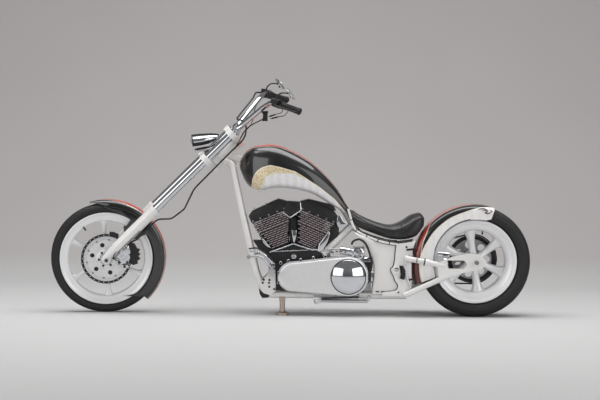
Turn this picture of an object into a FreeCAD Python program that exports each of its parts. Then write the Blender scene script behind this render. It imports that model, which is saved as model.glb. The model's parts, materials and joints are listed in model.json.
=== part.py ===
import FreeCAD
import Part
import math
import os
import Sketcher
from FreeCAD import Placement, Rotation, Vector

# Long, low chopper on a fixed support post. Millimetres; +X to the rear, -Y the rider's
# left, +Z up, the floor at Z = 0. Places on the machine are given from the front axle,
# and each sub-part's Placement moves them to the row frame.

SIZES = (
    ("centre_shift", 1136.5), ("wheel_base", 2270), ("fork_rake", 45), ("rest_steer", 8),
    ("axle_radius", 12.5), ("axle_bore", 8), ("hub_clearance", 0.05),
    ("front_radius", 338), ("front_half_width", 45), ("front_tread_flat", 12),
    ("front_bead_radius", 268), ("front_lip_radius", 285), ("front_window_radius", 227),
    ("front_hub_radius", 40), ("front_hub_half", 46), ("spoke_count", 6),
    ("rotor_radius", 155), ("rotor_thick", 5), ("rotor_side", -54), ("rotor_hole", 4.5),
    ("rotor_hole_circle", 139), ("rotor_hole_count", 24), ("rotor_bore", 30),
    ("rear_radius", 341), ("rear_half_width", 120), ("rear_tread_flat", 62),
    ("rear_bead_radius", 238), ("rear_lip_radius", 256), ("rear_window_radius", 187),
    ("rear_hub_radius", 48), ("rear_hub_half", 132),
    ("pulley_radius", 150), ("pulley_side", 156), ("pulley_thick", 26), ("pulley_bore", 34),
    ("belt_thick", 8), ("belt_width", 22), ("gearbox_pulley_radius", 52),
    ("leg_spread", 95), ("leg_lead", 10), ("slider_radius", 33.5), ("slider_foot_radius", 19),
    ("slider_length", 435), ("tube_radius", 27), ("tube_top", 1112),
    ("lower_clamp_at", 866), ("upper_clamp_at", 1087), ("clamp_thick", 36),
    ("clamp_boss_radius", 40), ("stem_offset", 62), ("stem_radius", 16),
    ("neck_radius", 34), ("neck_gap", 3), ("bar_radius", 16), ("grip_radius", 20),
    ("lamp_radius", 56), ("lamp_length", 170), ("lamp_tilt", 7),
    ("frame_tube_radius", 19.5), ("backbone_radius", 22), ("rail_height", 124),
    ("rail_spread", 85), ("side_width", 125),
    ("crank_x", 1153), ("crank_z", 241), ("cylinder_lean", 22.5), ("engine_half_width", 92),
    ("fin_count", 14), ("fin_thick", 5), ("vee_gap", 20), ("rocker_start", 395),
    ("rocker_top", 470), ("clutch_x", 1493), ("clutch_z", 245), ("clutch_radius", 107),
    ("dome_rise", 38),
    ("primary_inner", 106), ("primary_outer", 180), ("primary_front_radius", 92),
    ("primary_rear_radius", 125),
    ("left_arm_side", 172), ("right_arm_side", 200), ("arm_half_thick", 12),
    ("axle_overhang", 44),
    ("seat_cut_radius", 386), ("fender_gap", 14), ("fender_skin", 4), ("front_fender_half", 51),
    ("front_fender_back", 8), ("rear_fender_half", 130), ("rear_fender_gap", 6),
    ("fender_flare", 38), ("fender_join", 88), ("fender_tail", 70), ("fender_foot", 198),
    ("skirt_radius", 259),
    ("front_spoke_turn", 94), ("rear_spoke_turn", 98), ("rim_dish", 6), ("rim_well", 12),
    ("lip_depth", 8), ("bead_gap", 1), ("pulley_rim", 26), ("pulley_web", 4), ("pulley_cap", 8),
    ("spacer_wall", 7), ("lug_half", 16), ("lug_radius", 27), ("shin_length", 110),
    ("collar_length", 22), ("collar_radius", 37), ("fit_gap", 0.2),
    ("web_front", 24), ("web_back", 34), ("web_side", 14), ("web_nose", 30), ("web_nose_half", 22),
    ("riser_side", 45), ("riser_foot", 20), ("riser_radius", 15), ("riser_eye", 25),
    ("riser_eye_half", 17), ("grip_start", 62), ("grip_end", 4), ("switch_start", 18),
    ("switch_end", 60), ("switch_radius", 27), ("lever_radius", 8), ("lever_tip_radius", 6.5),
    ("lever_ball", 9), ("mirror_stem", 6), ("mirror_lean", 36), ("mirror_turn", 12),
    ("lamp_stalk", 15), ("fender_start", -43), ("fender_sweep", 148), ("skirt_start", -36),
    ("skirt_sweep", 132), ("skirt_drop", 14), ("tip_sweep", 8), ("tip_drop", 40),
    ("tab_thick", 5), ("tab_along", 200), ("tab_boss", 10), ("caliper_outer", 80),
    ("caliper_inner", 34), ("caliper_slot", 16), ("neck_gusset", 9),
    ("rail_front", 1060), ("rail_back", 1850), ("seat_post_radius", 22), ("plate_thick", 6),
    ("tank_edge", 8), ("pivot_thick", 16), ("pivot_boss", 26), ("pivot_boss_length", 24),
    ("arm_tube", 17), ("arm_lug", 13), ("tank_channel", 31),
    ("bore_radius", 56), ("deck_height", 110), ("fin_start", 165), ("fin_reach", 90),
    ("fin_grow", 23), ("fin_grow_inner", 75), ("fin_side", 78), ("rocker_side", 80),
    ("rocker_gap", 3), ("drum_radius", 92), ("bell_radius", 70), ("gearbox_side", 56),
    ("shaft_radius", 20), ("shaft_end", 186), ("cover_edge", 12), ("starter_radius", 34),
    ("solenoid_radius", 24), ("cam_radius", 104), ("cam_thick", 44), ("cleaner_radius", 88),
    ("cleaner_z", 560), ("throat_radius", 19), ("pipe_radius", 24), ("pipe_side", 246),
    ("pipe_end", 2120), ("peg_radius", 17), ("peg_end", 296), ("control_side", 141),
    ("toe_arm_side", 160), ("toe_arm_radius", 7), ("toe_peg_radius", 13), ("belt_clearance", 0.5),
    ("post_foot", 14), ("post_top", 112), ("stand_foot_radius", 8), ("stand_eye", 17),
    ("post_x", 1091), ("post_radius", 16.5), ("post_base_radius", 40), ("post_base_thick", 22),
    ("stand_x", 1300), ("stand_side", 122), ("stand_height", 94), ("stand_length", 315),
    ("stand_radius", 11), ("stand_lean", 12.7), ("stand_pin_radius", 6), ("hose_radius", 5),
)

doc = FreeCAD.newDocument("Chopper")
sheet = doc.addObject("Spreadsheet::Sheet", "Sizes")
for row, (alias, value) in enumerate(SIZES, 1):
    sheet.set(f"A{row}", alias)
    sheet.set(f"B{row}", str(value))
    sheet.setAlias(f"B{row}", alias)
doc.recompute()

parts = {}
X_AXIS, Y_AXIS, Z_AXIS = Vector(1, 0, 0), Vector(0, 1, 0), Vector(0, 0, 1)
SIDES = (-1, 1)


def size(alias):
    return float(getattr(sheet, alias))


# places

RAKE = math.radians(size("fork_rake"))
ALONG = Vector(math.sin(RAKE), 0, math.cos(RAKE))
BEHIND = Vector(math.cos(RAKE), 0, -math.sin(RAKE))
FRONT_AXLE = Vector(0, 0, size("front_radius"))
REAR_AXLE = Vector(size("wheel_base"), 0, size("rear_radius"))
STEM_FOOT = FRONT_AXLE + BEHIND * size("stem_offset")
MACHINE = Placement(Vector(-size("centre_shift"), 0, 0), Rotation())


def on_fork(along, behind=0.0, side=0.0):
    return FRONT_AXLE + ALONG * along + BEHIND * behind + Y_AXIS * side


def steered(place):
    """Turn a fork piece to its rest angle and let it down until the tyre meets the floor."""
    turn = Rotation(ALONG, size("rest_steer"))
    axle = turn.multVec(FRONT_AXLE - STEM_FOOT) + STEM_FOOT
    lean = abs(turn.multVec(Y_AXIS).z)
    reach = size("front_radius") * math.sqrt(1 - lean ** 2) + size("front_tread_flat") * lean
    lowest = axle.z - reach
    drop = ALONG * (lowest / ALONG.z)
    swing = Placement(-drop, turn, STEM_FOOT)
    return MACHINE.multiply(swing).multiply(place)


# shape helpers

def outline(points, side=0.0):
    """Closed wire in the XZ plane; a point of four numbers is reached by an arc."""
    edges = []
    last = points[-1]
    start = Vector(last[0], side, last[1])
    for point in points:
        end = Vector(point[0], side, point[1])
        if len(point) == 4:
            through = Vector(point[2], side, point[3])
            edges.append(Part.Arc(start, through, end).toShape())
        else:
            edges.append(Part.makeLine(start, end))
        start = end
    return Part.Wire(edges)


def plate(points, side_from, side_to):
    face = Part.Face(outline(points, side_from))
    return face.extrude(Vector(0, side_to - side_from, 0))


def both_plates(points, side_from, side_to):
    return [plate(points, sign * side_from, sign * side_to) for sign in SIDES]


def hull_of_circles(front, front_radius, rear, rear_radius):
    """Outline of two circles and their outer tangents, as points for outline()."""
    run, rise = rear[0] - front[0], rear[1] - front[1]
    base = math.atan2(rise, run)
    spread = math.acos((front_radius - rear_radius) / math.hypot(run, rise))

    def on(centre, radius, angle):
        return centre[0] + radius * math.cos(angle), centre[1] + radius * math.sin(angle)

    return [
        on(front, front_radius, base + spread),
        on(front, front_radius, base - spread) + on(front, front_radius, base + math.pi),
        on(rear, rear_radius, base - spread),
        on(rear, rear_radius, base + spread) + on(rear, rear_radius, base),
    ]


def turned(profile, start=0.0, sweep=360.0):
    """Turn a closed (radius, side) profile about the Y axis; angles rise from +X to +Z."""
    points = [Vector(radius, side, 0) for radius, side in profile]
    face = Part.Face(Part.makePolygon(points + points[:1]))
    solid = face.revolve(Vector(), -Y_AXIS, sweep)
    return solid.rotated(Vector(), -Y_AXIS, start) if start else solid


def bar(start, end, radius, end_radius=None):
    run = end - start
    if end_radius is None:
        return Part.makeCylinder(radius, run.Length, start, run)
    return Part.makeCone(radius, end_radius, run.Length, start, run)


def tube(points, bends, radius):
    """Round bar along straight runs joined by tangent arcs of the given bend radii."""
    nodes = [Vector(*point) for point in points]
    edges, start = [], nodes[0]
    for before, corner, after, bend in zip(nodes, nodes[1:], nodes[2:], bends):
        to_before = (before - corner).normalize()
        to_after = (after - corner).normalize()
        half = to_before.getAngle(to_after) / 2
        setback = bend / math.tan(half)
        inward = (to_before + to_after).normalize()
        centre = corner + inward * (bend / math.sin(half))
        first, last = corner + to_before * setback, corner + to_after * setback
        edges.append(Part.makeLine(start, first))
        edges.append(Part.Arc(first, centre - inward * bend, last).toShape())
        start = last
    edges.append(Part.makeLine(start, nodes[-1]))
    path = Part.Wire(edges)
    ring = Part.Wire(Part.makeCircle(radius, nodes[0], nodes[1] - nodes[0]))
    solid = path.makePipeShell([ring], True, True)
    expected = math.pi * radius ** 2 * path.Length
    if abs(solid.Volume - expected) > 0.01 * expected:
        raise RuntimeError("a tube's volume is off")
    return solid


def oval(x, half_width, low, widest, high, fullness=0.8):
    """Section across the machine at x, of four arcs."""
    rise, fall = high - widest, widest - low
    corners = [(half_width, widest), (0, high), (-half_width, widest), (0, low)]
    middles = [
        (half_width * fullness, widest + rise * fullness),
        (-half_width * fullness, widest + rise * fullness),
        (-half_width * fullness, widest - fall * fullness),
        (half_width * fullness, widest - fall * fullness),
    ]
    edges = []
    for index, middle in enumerate(middles):
        start, end = corners[index], corners[(index + 1) % 4]
        edges.append(Part.Arc(Vector(x, *start), Vector(x, *middle), Vector(x, *end)).toShape())
    return Part.Wire(edges)


def block(low, high):
    size_of = high - low
    return Part.makeBox(size_of.x, size_of.y, size_of.z, low)


def joined(shapes):
    first, rest = shapes[0], shapes[1:]
    return first.fuse(rest).removeSplitter() if rest else first


# sub-part helpers

def shaped(label, shape, place=MACHINE):
    piece = doc.addObject("Part::Feature", label)
    piece.Shape = shape
    piece.Placement = place.multiply(piece.Placement)
    return named(piece, label)


def named(piece, label):
    piece.Label = label
    parts[label] = piece
    return piece


def primitive(kind, name, at, direction, **cells):
    """A Part primitive whose sizes are bound to the sheet's cells."""
    piece = doc.addObject("Part::" + kind, name)
    for field, cell in cells.items():
        piece.setExpression(field, cell)
    piece.Placement = Placement(at, Rotation(Z_AXIS, direction))
    return piece


def boolean(kind, label, pieces, place):
    whole = doc.addObject("Part::" + kind, label)
    if kind == "Cut":
        whole.Base, whole.Tool = pieces
    else:
        whole.Shapes = pieces
    whole.Placement = place
    return named(whole, label)


def origin_plane(body, role):
    return [item for item in body.Origin.OriginFeatures if item.Role == role][0]


def sketch_on(body, name, role):
    sketch = body.newObject("Sketcher::SketchObject", name)
    sketch.AttachmentSupport = [(origin_plane(body, role), "")]
    sketch.MapMode = "FlatFace"
    return sketch


def circle_in(sketch, cell, radius, along=None, distance=0.0):
    """Circle bound to a cell, at the origin or at a bound distance along the X axis."""
    index = sketch.addGeometry(Part.Circle(Vector(distance, 0, 0), Z_AXIS, radius), False)
    if along:
        sketch.addConstraint(Sketcher.Constraint("PointOnObject", index, 3, -1))
        held = sketch.addConstraint(Sketcher.Constraint("DistanceX", -1, 1, index, 3, distance))
        sketch.setExpression(f"Constraints[{held}]", along)
    else:
        sketch.addConstraint(Sketcher.Constraint("Coincident", index, 3, -1, 1))
    sized = sketch.addConstraint(Sketcher.Constraint("Radius", index, radius))
    sketch.setExpression(f"Constraints[{sized}]", cell)
    return sketch


def disc_body(label, radius, thick, bore, holes, hole_circle, hole_count, place):
    """Flat disc with a bore and a ring of holes, built on the XZ plane of its own body."""
    body = doc.addObject("PartDesign::Body", label)
    rim = sketch_on(body, label + "Rim", "XZ_Plane")
    circle_in(rim, "Sizes." + radius, size(radius))
    circle_in(rim, "Sizes." + bore, size(bore))
    pad = body.newObject("PartDesign::Pad", label + "Pad")
    pad.Profile = rim
    pad.Midplane = True
    pad.setExpression("Length", "Sizes." + thick)
    doc.recompute()
    hole = sketch_on(body, label + "Hole", "XZ_Plane")
    circle_in(hole, "Sizes." + holes, size(holes), "Sizes." + hole_circle, size(hole_circle))
    pocket = body.newObject("PartDesign::Pocket", label + "Pocket")
    pocket.Profile = hole
    pocket.Type = "ThroughAll"
    pocket.Midplane = True
    pattern = body.newObject("PartDesign::PolarPattern", label + "Ring")
    pattern.Originals = [pocket]
    pattern.Axis = (origin_plane(body, "Y_Axis"), [""])
    pattern.Angle = 360
    pattern.setExpression("Occurrences", "Sizes." + hole_count)
    body.Tip = pattern
    body.Placement = place
    doc.recompute()
    return named(body, label)


# wheels

BEAD_SHARE = 0.78  # width between the beads, as a share of the tyre's width


def tyre(label, end, place):
    """Solid tyre: bead, bulging wall and a crown with a flat tread band."""
    outer, half = size(end + "_radius"), size(end + "_half_width")
    bead, lip = size(end + "_bead_radius"), size(end + "_lip_radius")
    flat = size(end + "_tread_flat")
    seat_half = half * BEAD_SHARE
    shoulder = outer - (half - flat) * 0.55
    right = [(bead, seat_half), (lip + 3, seat_half)]
    bulge = (lip + (outer - lip) * 0.42, half)
    edge = (shoulder, half * 0.93)
    profile = right + [(lip + (outer - lip) * 0.18, half * 0.95), bulge, edge]
    steps = 5
    for step in range(1, steps + 1):
        turn = math.pi / 2 * step / steps
        side = flat + (edge[1] - flat) * math.cos(turn)
        profile.append((shoulder + (outer - shoulder) * math.sin(turn), side))
    profile += [(radius, -side) for radius, side in reversed(profile)]
    return shaped(label, turned(profile), place)


def rim(label, end, place):
    """Deep ring, hub and six flared paddle spokes."""
    hub_bore = size("axle_radius") + size("hub_clearance")
    lip, bead = size(end + "_lip_radius"), size(end + "_bead_radius")
    window, half = size(end + "_window_radius"), size(end + "_half_width") * BEAD_SHARE + 0.3
    wall, depth = half + size("rim_dish"), size("lip_depth")
    seat, well = bead - size("bead_gap"), bead - size("rim_well")
    ring = [
        (lip, half), (seat, half), (well, half / 2), (well, -half / 2),
        (seat, -half), (lip, -half), (lip, -wall), (lip - depth, -wall - 2),
        (window, -half / 2), (window, half / 2), (lip - depth, wall + 2), (lip, wall),
    ]
    hub_radius, hub_half = size(end + "_hub_radius"), size(end + "_hub_half")
    hub_outline = [
        (hub_bore, -hub_half), (hub_radius * 0.8, -hub_half), (hub_radius, -hub_half + depth),
        (hub_radius, hub_half - depth), (hub_radius * 0.8, hub_half), (hub_bore, hub_half),
    ]
    root_half, neck_half, flare_half = hub_radius * 0.45, hub_radius * 0.3, window * 0.2
    root, flare = hub_radius * 0.8, window * 0.62
    spoke_face = [
        (root, -root_half), (flare, -neck_half, flare * 0.6, -neck_half),
        (window + 4, -flare_half, window * 0.85, -neck_half * 1.5), (window + 4, flare_half),
        (flare, neck_half, window * 0.85, neck_half * 1.5),
        (root, root_half, flare * 0.6, neck_half),
    ]
    spoke_half = half * 0.4
    spoke = plate(spoke_face, -spoke_half, spoke_half)
    count = int(size("spoke_count"))
    lean = size(end + "_spoke_turn")
    spokes = [
        spoke.rotated(Vector(), -Y_AXIS, lean + 360 / count * index) for index in range(count)
    ]
    return shaped(label, joined([turned(ring), turned(hub_outline)] + spokes), place)


def front_wheel():
    place = steered(Placement(FRONT_AXLE, Rotation()))
    tyre("front_tyre", "front", place)
    rim("front_rim", "front", place)
    disc_place = steered(Placement(FRONT_AXLE + Y_AXIS * size("rotor_side"), Rotation()))
    disc_body(
        "front_rotor", "rotor_radius", "rotor_thick", "rotor_bore", "rotor_hole",
        "rotor_hole_circle", "rotor_hole_count", disc_place,
    )


def rear_pulley_end():
    return size("pulley_side") + size("pulley_thick") / 2


def rear_wheel():
    place = MACHINE.multiply(Placement(REAR_AXLE, Rotation()))
    tyre("rear_tyre", "rear", place)
    rim("rear_rim", "rear", place)
    outer, radius = rear_pulley_end(), size("pulley_radius")
    inner = outer - size("pulley_thick")
    bore, hub_end = size("pulley_bore"), size("rear_hub_half") + 1
    boss, well = radius * 0.4, radius - size("pulley_rim")
    web, cap = inner + size("pulley_web"), outer - size("pulley_cap")
    profile = [
        (bore, hub_end), (boss, hub_end), (boss, web), (well, web), (well, inner),
        (radius, inner), (radius, outer), (well, outer), (well, cap), (bore, cap),
    ]
    shaped("rear_pulley", turned(profile), place)


def axles():
    spread, arm = size("leg_spread") - size("lug_half"), size("arm_half_thick")
    for label, centre, hub, ends, place in (
        ("front_axle", FRONT_AXLE, size("front_hub_half"), (spread, spread),
         steered(Placement())),
        ("rear_axle", REAR_AXLE, size("rear_hub_half"),
         (size("left_arm_side") - arm, size("right_arm_side") - arm), MACHINE),
    ):
        half = max(ends) + size("axle_overhang")
        start = centre - Y_AXIS * half
        rod = primitive("Cylinder", label + "_rod", start, Y_AXIS,
                        Radius="Sizes.axle_radius", Height=str(2 * half))
        solids = [rod]
        for name, sign, end in (("left", -1, ends[0]), ("right", 1, ends[1])):
            inner = hub + 1 if (label, name) != ("rear_axle", "right") else rear_pulley_end() + 1
            spacer = primitive("Cylinder", f"{label}_{name}_spacer",
                               centre + Y_AXIS * sign * inner, Y_AXIS * sign,
                               Radius="Sizes.axle_radius + Sizes.spacer_wall", Height=str(end - inner))
            solids.append(spacer)
        if label == "rear_axle":
            boolean("MultiFuse", label, solids, place)
            continue
        whole = doc.addObject("Part::MultiFuse", label + "_solid")
        whole.Shapes = solids
        hole = primitive("Cylinder", label + "_hole", start - Y_AXIS, Y_AXIS,
                         Radius="Sizes.axle_bore", Height=str(2 * half + 2))
        boolean("Cut", label, [whole, hole], place)


# fork and what turns with it

def fork_legs():
    lead, spread = -size("leg_lead"), size("leg_spread")
    slider_radius, foot = size("slider_radius"), size("slider_foot_radius")
    length, top, shin_end = size("slider_length"), size("tube_top"), size("shin_length")
    lug_half, axle = size("lug_half"), size("axle_radius")
    sliders, tubes = [], []
    for sign in SIDES:
        side = sign * spread
        lug = bar(on_fork(0, 0, side - lug_half), on_fork(0, 0, side + lug_half), size("lug_radius"))
        shin = bar(on_fork(-14, lead, side), on_fork(shin_end, lead, side), foot, slider_radius)
        shaft = bar(on_fork(shin_end, lead, side), on_fork(length, lead, side), slider_radius)
        collar = bar(on_fork(length - size("collar_length"), lead, side),
                     on_fork(length, lead, side), size("collar_radius"))
        bore = bar(on_fork(0, 0, side - 40), on_fork(0, 0, side + 40), axle)
        room = bar(on_fork(0), on_fork(0, 0, sign * (spread - lug_half)), axle + 8)
        sliders.append(joined([lug, shin, shaft, collar]).cut(bore).cut(room))
        tubes.append(bar(on_fork(length, lead, side), on_fork(top, lead, side),
                         size("tube_radius")))
    shaped("fork_sliders", Part.makeCompound(sliders), steered(Placement()))
    shaped("fork_tubes", Part.makeCompound(tubes), steered(Placement()))
    return tubes


def triple_clamps(tubes):
    thick, boss = size("clamp_thick"), size("clamp_boss_radius")
    lead, spread, stem = -size("leg_lead"), size("leg_spread"), size("stem_offset")
    pieces = []
    for at in (size("lower_clamp_at"), size("upper_clamp_at")):
        low, high = at - thick / 2, at + thick / 2
        for side in (-spread, spread):
            pieces.append(bar(on_fork(low, lead, side), on_fork(high, lead, side), boss))
        pieces.append(bar(on_fork(low, stem), on_fork(high, stem), boss))
        front, back, nose = lead - size("web_front"), lead + size("web_back"), stem + size("web_nose")
        cheek, tip = spread + size("web_side"), size("web_nose_half")
        corners = [(front, -spread), (front, spread), (back, cheek), (nose, tip), (nose, -tip),
                   (back, -cheek)]
        ring = [on_fork(low, behind, side) for behind, side in corners]
        face = Part.Face(Part.makePolygon(ring + ring[:1]))
        pieces.append(face.extrude(ALONG * thick))
    pieces.append(bar(on_fork(size("lower_clamp_at"), stem), on_fork(size("upper_clamp_at"), stem),
                      size("stem_radius")))
    whole = joined(pieces)
    for leg in tubes:
        whole = whole.cut(leg)
    shaped("triple_clamps", whole, steered(Placement()))
    return whole


BAR_ROUTE = (
    (800, 0, 1146), (800, 70, 1146), (950, 250, 1302), (991, 318, 1334), (1144, 418, 1286),
)
BAR_BENDS = (70, 60, 45, 45, 60, 70)


def mirrored_points(points):
    left = [(x, -y, z) for x, y, z in reversed(points[1:])]
    return left + list(points[1:])


def handlebar(clamps):
    bar_shape = tube(mirrored_points(BAR_ROUTE), BAR_BENDS, size("bar_radius"))
    top = size("upper_clamp_at") + size("clamp_thick") / 2
    half = Y_AXIS * size("riser_eye_half")
    risers = []
    for sign in SIDES:
        side = sign * size("riser_side")
        head = Vector(BAR_ROUTE[0][0], side, BAR_ROUTE[0][2])
        risers.append(bar(on_fork(top, size("riser_foot"), side), head, size("riser_radius")))
        risers.append(bar(head - half, head + half, size("riser_eye")))
    risers = [riser.cut(bar_shape).cut(clamps) for riser in risers]
    shaped("handlebar", joined([bar_shape] + risers), steered(Placement()))
    return bar_shape


RESERVOIR_AT = (34, 30, 10)  # along the grip, ahead of it and above it
RESERVOIR_HALF = Vector(24, 20, 15)
LEVER_START, LEVER_END = (40, 50), (12, 54)  # from the bar's knee and tip; ahead of the grip
MIRROR_HEAD = Vector(1094, 384, 1385)
MIRROR_HALF = (9, 58, 44)


def mirror_shell(sign):
    shell = Part.makeSphere(1)
    stretch = FreeCAD.Matrix()
    stretch.scale(*MIRROR_HALF)
    shell = shell.transformGeometry(stretch)
    shell.rotate(Vector(), Y_AXIS, -size("mirror_lean"))
    shell.rotate(Vector(), Z_AXIS, sign * size("mirror_turn"))
    return shell


def hand_controls(bar_shape):
    knee, tip = Vector(*BAR_ROUTE[-2]), Vector(*BAR_ROUTE[-1])
    run = (tip - knee).normalize()
    forward = run.cross(Z_AXIS).normalize() * -1
    grips, housings, mirrors = [], [], []
    for sign in SIDES:
        def on_side(point):
            return Vector(point.x, sign * point.y, point.z)

        grip = bar(on_side(knee + run * size("grip_start")), on_side(tip + run * size("grip_end")),
                   size("grip_radius"))
        grips.append(grip.cut(bar_shape))
        switch = bar(on_side(knee + run * size("switch_start")),
                     on_side(knee + run * size("switch_end")), size("switch_radius"))
        along, ahead, above = RESERVOIR_AT
        reservoir_at = knee + run * along + forward * ahead + Z_AXIS * above
        box = block(-RESERVOIR_HALF, RESERVOIR_HALF)
        box.translate(on_side(reservoir_at))
        lever_start = on_side(knee + run * LEVER_START[0] + forward * LEVER_START[1])
        lever_end = on_side(tip - run * LEVER_END[0] + forward * LEVER_END[1])
        lever = bar(lever_start, lever_end, size("lever_radius"), size("lever_tip_radius"))
        ball = Part.makeSphere(size("lever_ball"), lever_end)
        housings.append(joined([switch, box, lever, ball]).cut(bar_shape))
        head = on_side(MIRROR_HEAD)
        stem = bar(on_side(reservoir_at + Vector(8, 4, 14)), head, size("mirror_stem"))
        shell = mirror_shell(sign)
        shell.translate(head)
        mirrors.append(joined([shell, stem]).cut(joined([switch, box])))
    shaped("grips", Part.makeCompound(grips), steered(Placement()))
    shaped("hand_controls", Part.makeCompound(housings), steered(Placement()))
    shaped("mirrors", Part.makeCompound(mirrors), steered(Placement()))


LAMP_FRONT = Vector(527, 0, 1044)
LAMP_SHOULDER = 0.24  # share of the length that stays cylindrical


def headlamp(clamps):
    radius, length = size("lamp_radius"), size("lamp_length")
    steps = 8
    shell = [(0, 0), (0, radius - 4), (3, radius)]
    shell += [
        (length * (LAMP_SHOULDER + (1 - LAMP_SHOULDER) * math.sin(math.pi / 2 * step / steps)),
         radius * math.cos(math.pi / 2 * step / steps) ** 0.8)
        for step in range(steps)
    ] + [(length, 0)]
    points = [Vector(along, 0, out) for along, out in shell]
    face = Part.Face(Part.makePolygon(points + points[:1]))
    lamp = face.revolve(Vector(), X_AXIS, 360)
    lamp.rotate(Vector(), Y_AXIS, -size("lamp_tilt"))
    lamp.translate(LAMP_FRONT)
    foot = on_fork(size("lower_clamp_at") + size("clamp_thick") / 2, -8)
    stalk = bar(foot, LAMP_FRONT + Vector(92, 0, -30), size("lamp_stalk"))
    shaped("headlamp", joined([lamp, stalk]).cut(clamps), steered(Placement()))


def arch(inner, half, skin, start, sweep):
    """Crowned fender section of one skin, turned about the axle."""
    outer = inner + skin
    crown = 0.14 * half
    side = [(inner - 4, half), (inner + crown * 0.45, half * 0.8), (inner + crown, half * 0.4)]
    top = [(outer + crown, half * 0.4), (outer + crown * 0.45, half * 0.84),
           (outer - 8, half + skin)]
    right = side + [(inner + crown * 1.1, 0)]
    left = [(radius, -y) for radius, y in reversed(side)]
    profile = right + left + [(r, -y) for r, y in reversed(top)]
    profile += [(outer + crown * 1.1, 0)] + top
    return turned(profile, start, sweep)


def flank(radius_in, radius_out, half, skin, start, sweep):
    sides = []
    for sign in SIDES:
        profile = [(radius_in, sign * half), (radius_out, sign * half),
                   (radius_out, sign * (half + skin)), (radius_in, sign * (half + skin))]
        sides.append(turned(profile, start, sweep))
    return sides


TAB_OUTLINE = (
    (60, 300), (100, 270), (118, 170), (146, 142), (170, 170), (250, 175), (290, 110), (300, 130),
    (235, 235), (120, 310),
)


def front_fender():
    half, skin = size("front_fender_half"), size("fender_skin")
    inner = size("front_radius") + size("fender_gap")
    lip, start = size("front_lip_radius"), size("fender_start")
    hood = arch(inner, half, skin, start, size("fender_sweep"))
    skirts = flank(lip + size("skirt_drop"), inner - 4, half, skin, size("skirt_start"),
                   size("skirt_sweep"))
    tip = flank(lip + size("tip_drop"), inner - 4, half, skin, start, size("tip_sweep"))
    body = joined([hood] + skirts + tip)
    body.translate(FRONT_AXLE + X_AXIS * size("front_fender_back"))
    outer, along = half + skin, size("tab_along")
    leg_face = size("leg_spread") - size("slider_radius") - size("fit_gap")
    points = [(FRONT_AXLE.x + x, FRONT_AXLE.z + z) for x, z in TAB_OUTLINE]
    tabs = both_plates(points, outer, outer + size("tab_thick"))
    tabs += [bar(on_fork(along, -6, sign * outer), on_fork(along, -6, sign * leg_face),
                 size("tab_boss")) for sign in SIDES]
    shaped("front_fender", joined([body] + tabs), steered(Placement()))


CALIPER_OUTLINE = ((66, 372), (150, 300), (196, 330), (206, 380), (160, 452), (96, 420))


def front_caliper():
    body = plate(CALIPER_OUTLINE, -size("caliper_outer"), -size("caliper_inner"))
    slot = size("caliper_slot")
    gap = Part.makeCylinder(size("rotor_radius") + 8, slot,
                            FRONT_AXLE + Y_AXIS * (size("rotor_side") - slot / 2), Y_AXIS)
    lead, side = -size("leg_lead"), -size("leg_spread")
    leg = bar(on_fork(-20, lead, side), on_fork(300, lead, side), size("slider_radius") + 0.5)
    caliper = body.cut(gap).cut(leg)
    shaped("front_caliper", caliper, steered(Placement()))
    return caliper


HOSE_ON_FORK = (
    (164, 30, -57), (222, 42, -95), (398, 42, -95), (462, 100, -104), (560, 112, -108),
    (690, 66, -100), (1010, 62, -96), (1140, 66, -84),
)
HOSE_ON_BAR = ((850, -52, 1192), (799, 90, 1190), (912, 232, 1308), (938, 322, 1340), (973, 363, 1336))
HOSE_BENDS = (60, 60, 60, 60, 150, 400, 120, 36, 50, 120, 60, 30)


def brake_hose(caliper):
    route = [tuple(on_fork(*point)) for point in HOSE_ON_FORK] + list(HOSE_ON_BAR)
    hose = tube(route, HOSE_BENDS, size("hose_radius")).cut(caliper)
    shaped("brake_hose", hose, steered(Placement()))


# frame

GUSSET_OUTLINE = ((742, 905), (800, 918), (800, 968), (760, 985))
BACKBONE_ROUTE = ((745, 0, 968), (1280, 0, 872), (1470, 0, 640), (1560, 0, 492), (1800, 0, 425))
BACKBONE_BENDS = (120, 120, 90)
SEAT_POST = ((1512, 30, 546), (1338, 64, 372))
DOWNTUBE_BENDS = (50, 500, 260, 45)


def neck():
    gap = size("clamp_thick") / 2 + size("neck_gap")
    low, high = size("lower_clamp_at") + gap, size("upper_clamp_at") - gap
    stem, half = size("stem_offset"), size("neck_gusset")
    shell = bar(on_fork(low, stem), on_fork(high, stem), size("neck_radius"))
    gusset = plate(GUSSET_OUTLINE, -half, half)
    bore = bar(on_fork(low - gap, stem), on_fork(high + gap, stem),
               size("stem_radius") + size("hub_clearance"))
    return joined([shell, gusset]).cut(bore)


def downtube_route(sign):
    side, height, back = sign * size("rail_spread"), size("rail_height"), size("rail_front")
    return [(712, sign * 24, 950), (772, sign * 34, 925), (842, sign * 62, 610),
            (930, side, 250), (back - 75, side, height), (back, side, height)]


def frame(case):
    radius, height, spread = size("frame_tube_radius"), size("rail_height"), size("rail_spread")
    stem = size("stem_offset")
    neck_shape = neck()
    neck_room = bar(on_fork(size("lower_clamp_at") - 66, stem), on_fork(size("tube_top"), stem),
                    size("neck_radius"))
    backbone = tube(BACKBONE_ROUTE, BACKBONE_BENDS, size("backbone_radius"))
    backbone = backbone.cut(neck_shape).cut(neck_room)
    down, rails, posts = [], [], []
    for sign in SIDES:
        down.append(tube(downtube_route(sign), DOWNTUBE_BENDS, radius).cut(neck_room))
        rails.append(bar(Vector(size("rail_front"), sign * spread, height),
                         Vector(size("rail_back"), sign * spread, height), radius))
        top, foot = [Vector(x, sign * side, z) for x, side, z in SEAT_POST]
        posts.append(bar(top, foot, size("seat_post_radius")).cut(case))
    shaped("downtubes", Part.makeCompound(down))
    spine = joined([backbone, neck_shape.cut(joined(down))] + posts)
    shaped("backbone", spine)
    return spine, rails


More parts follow.
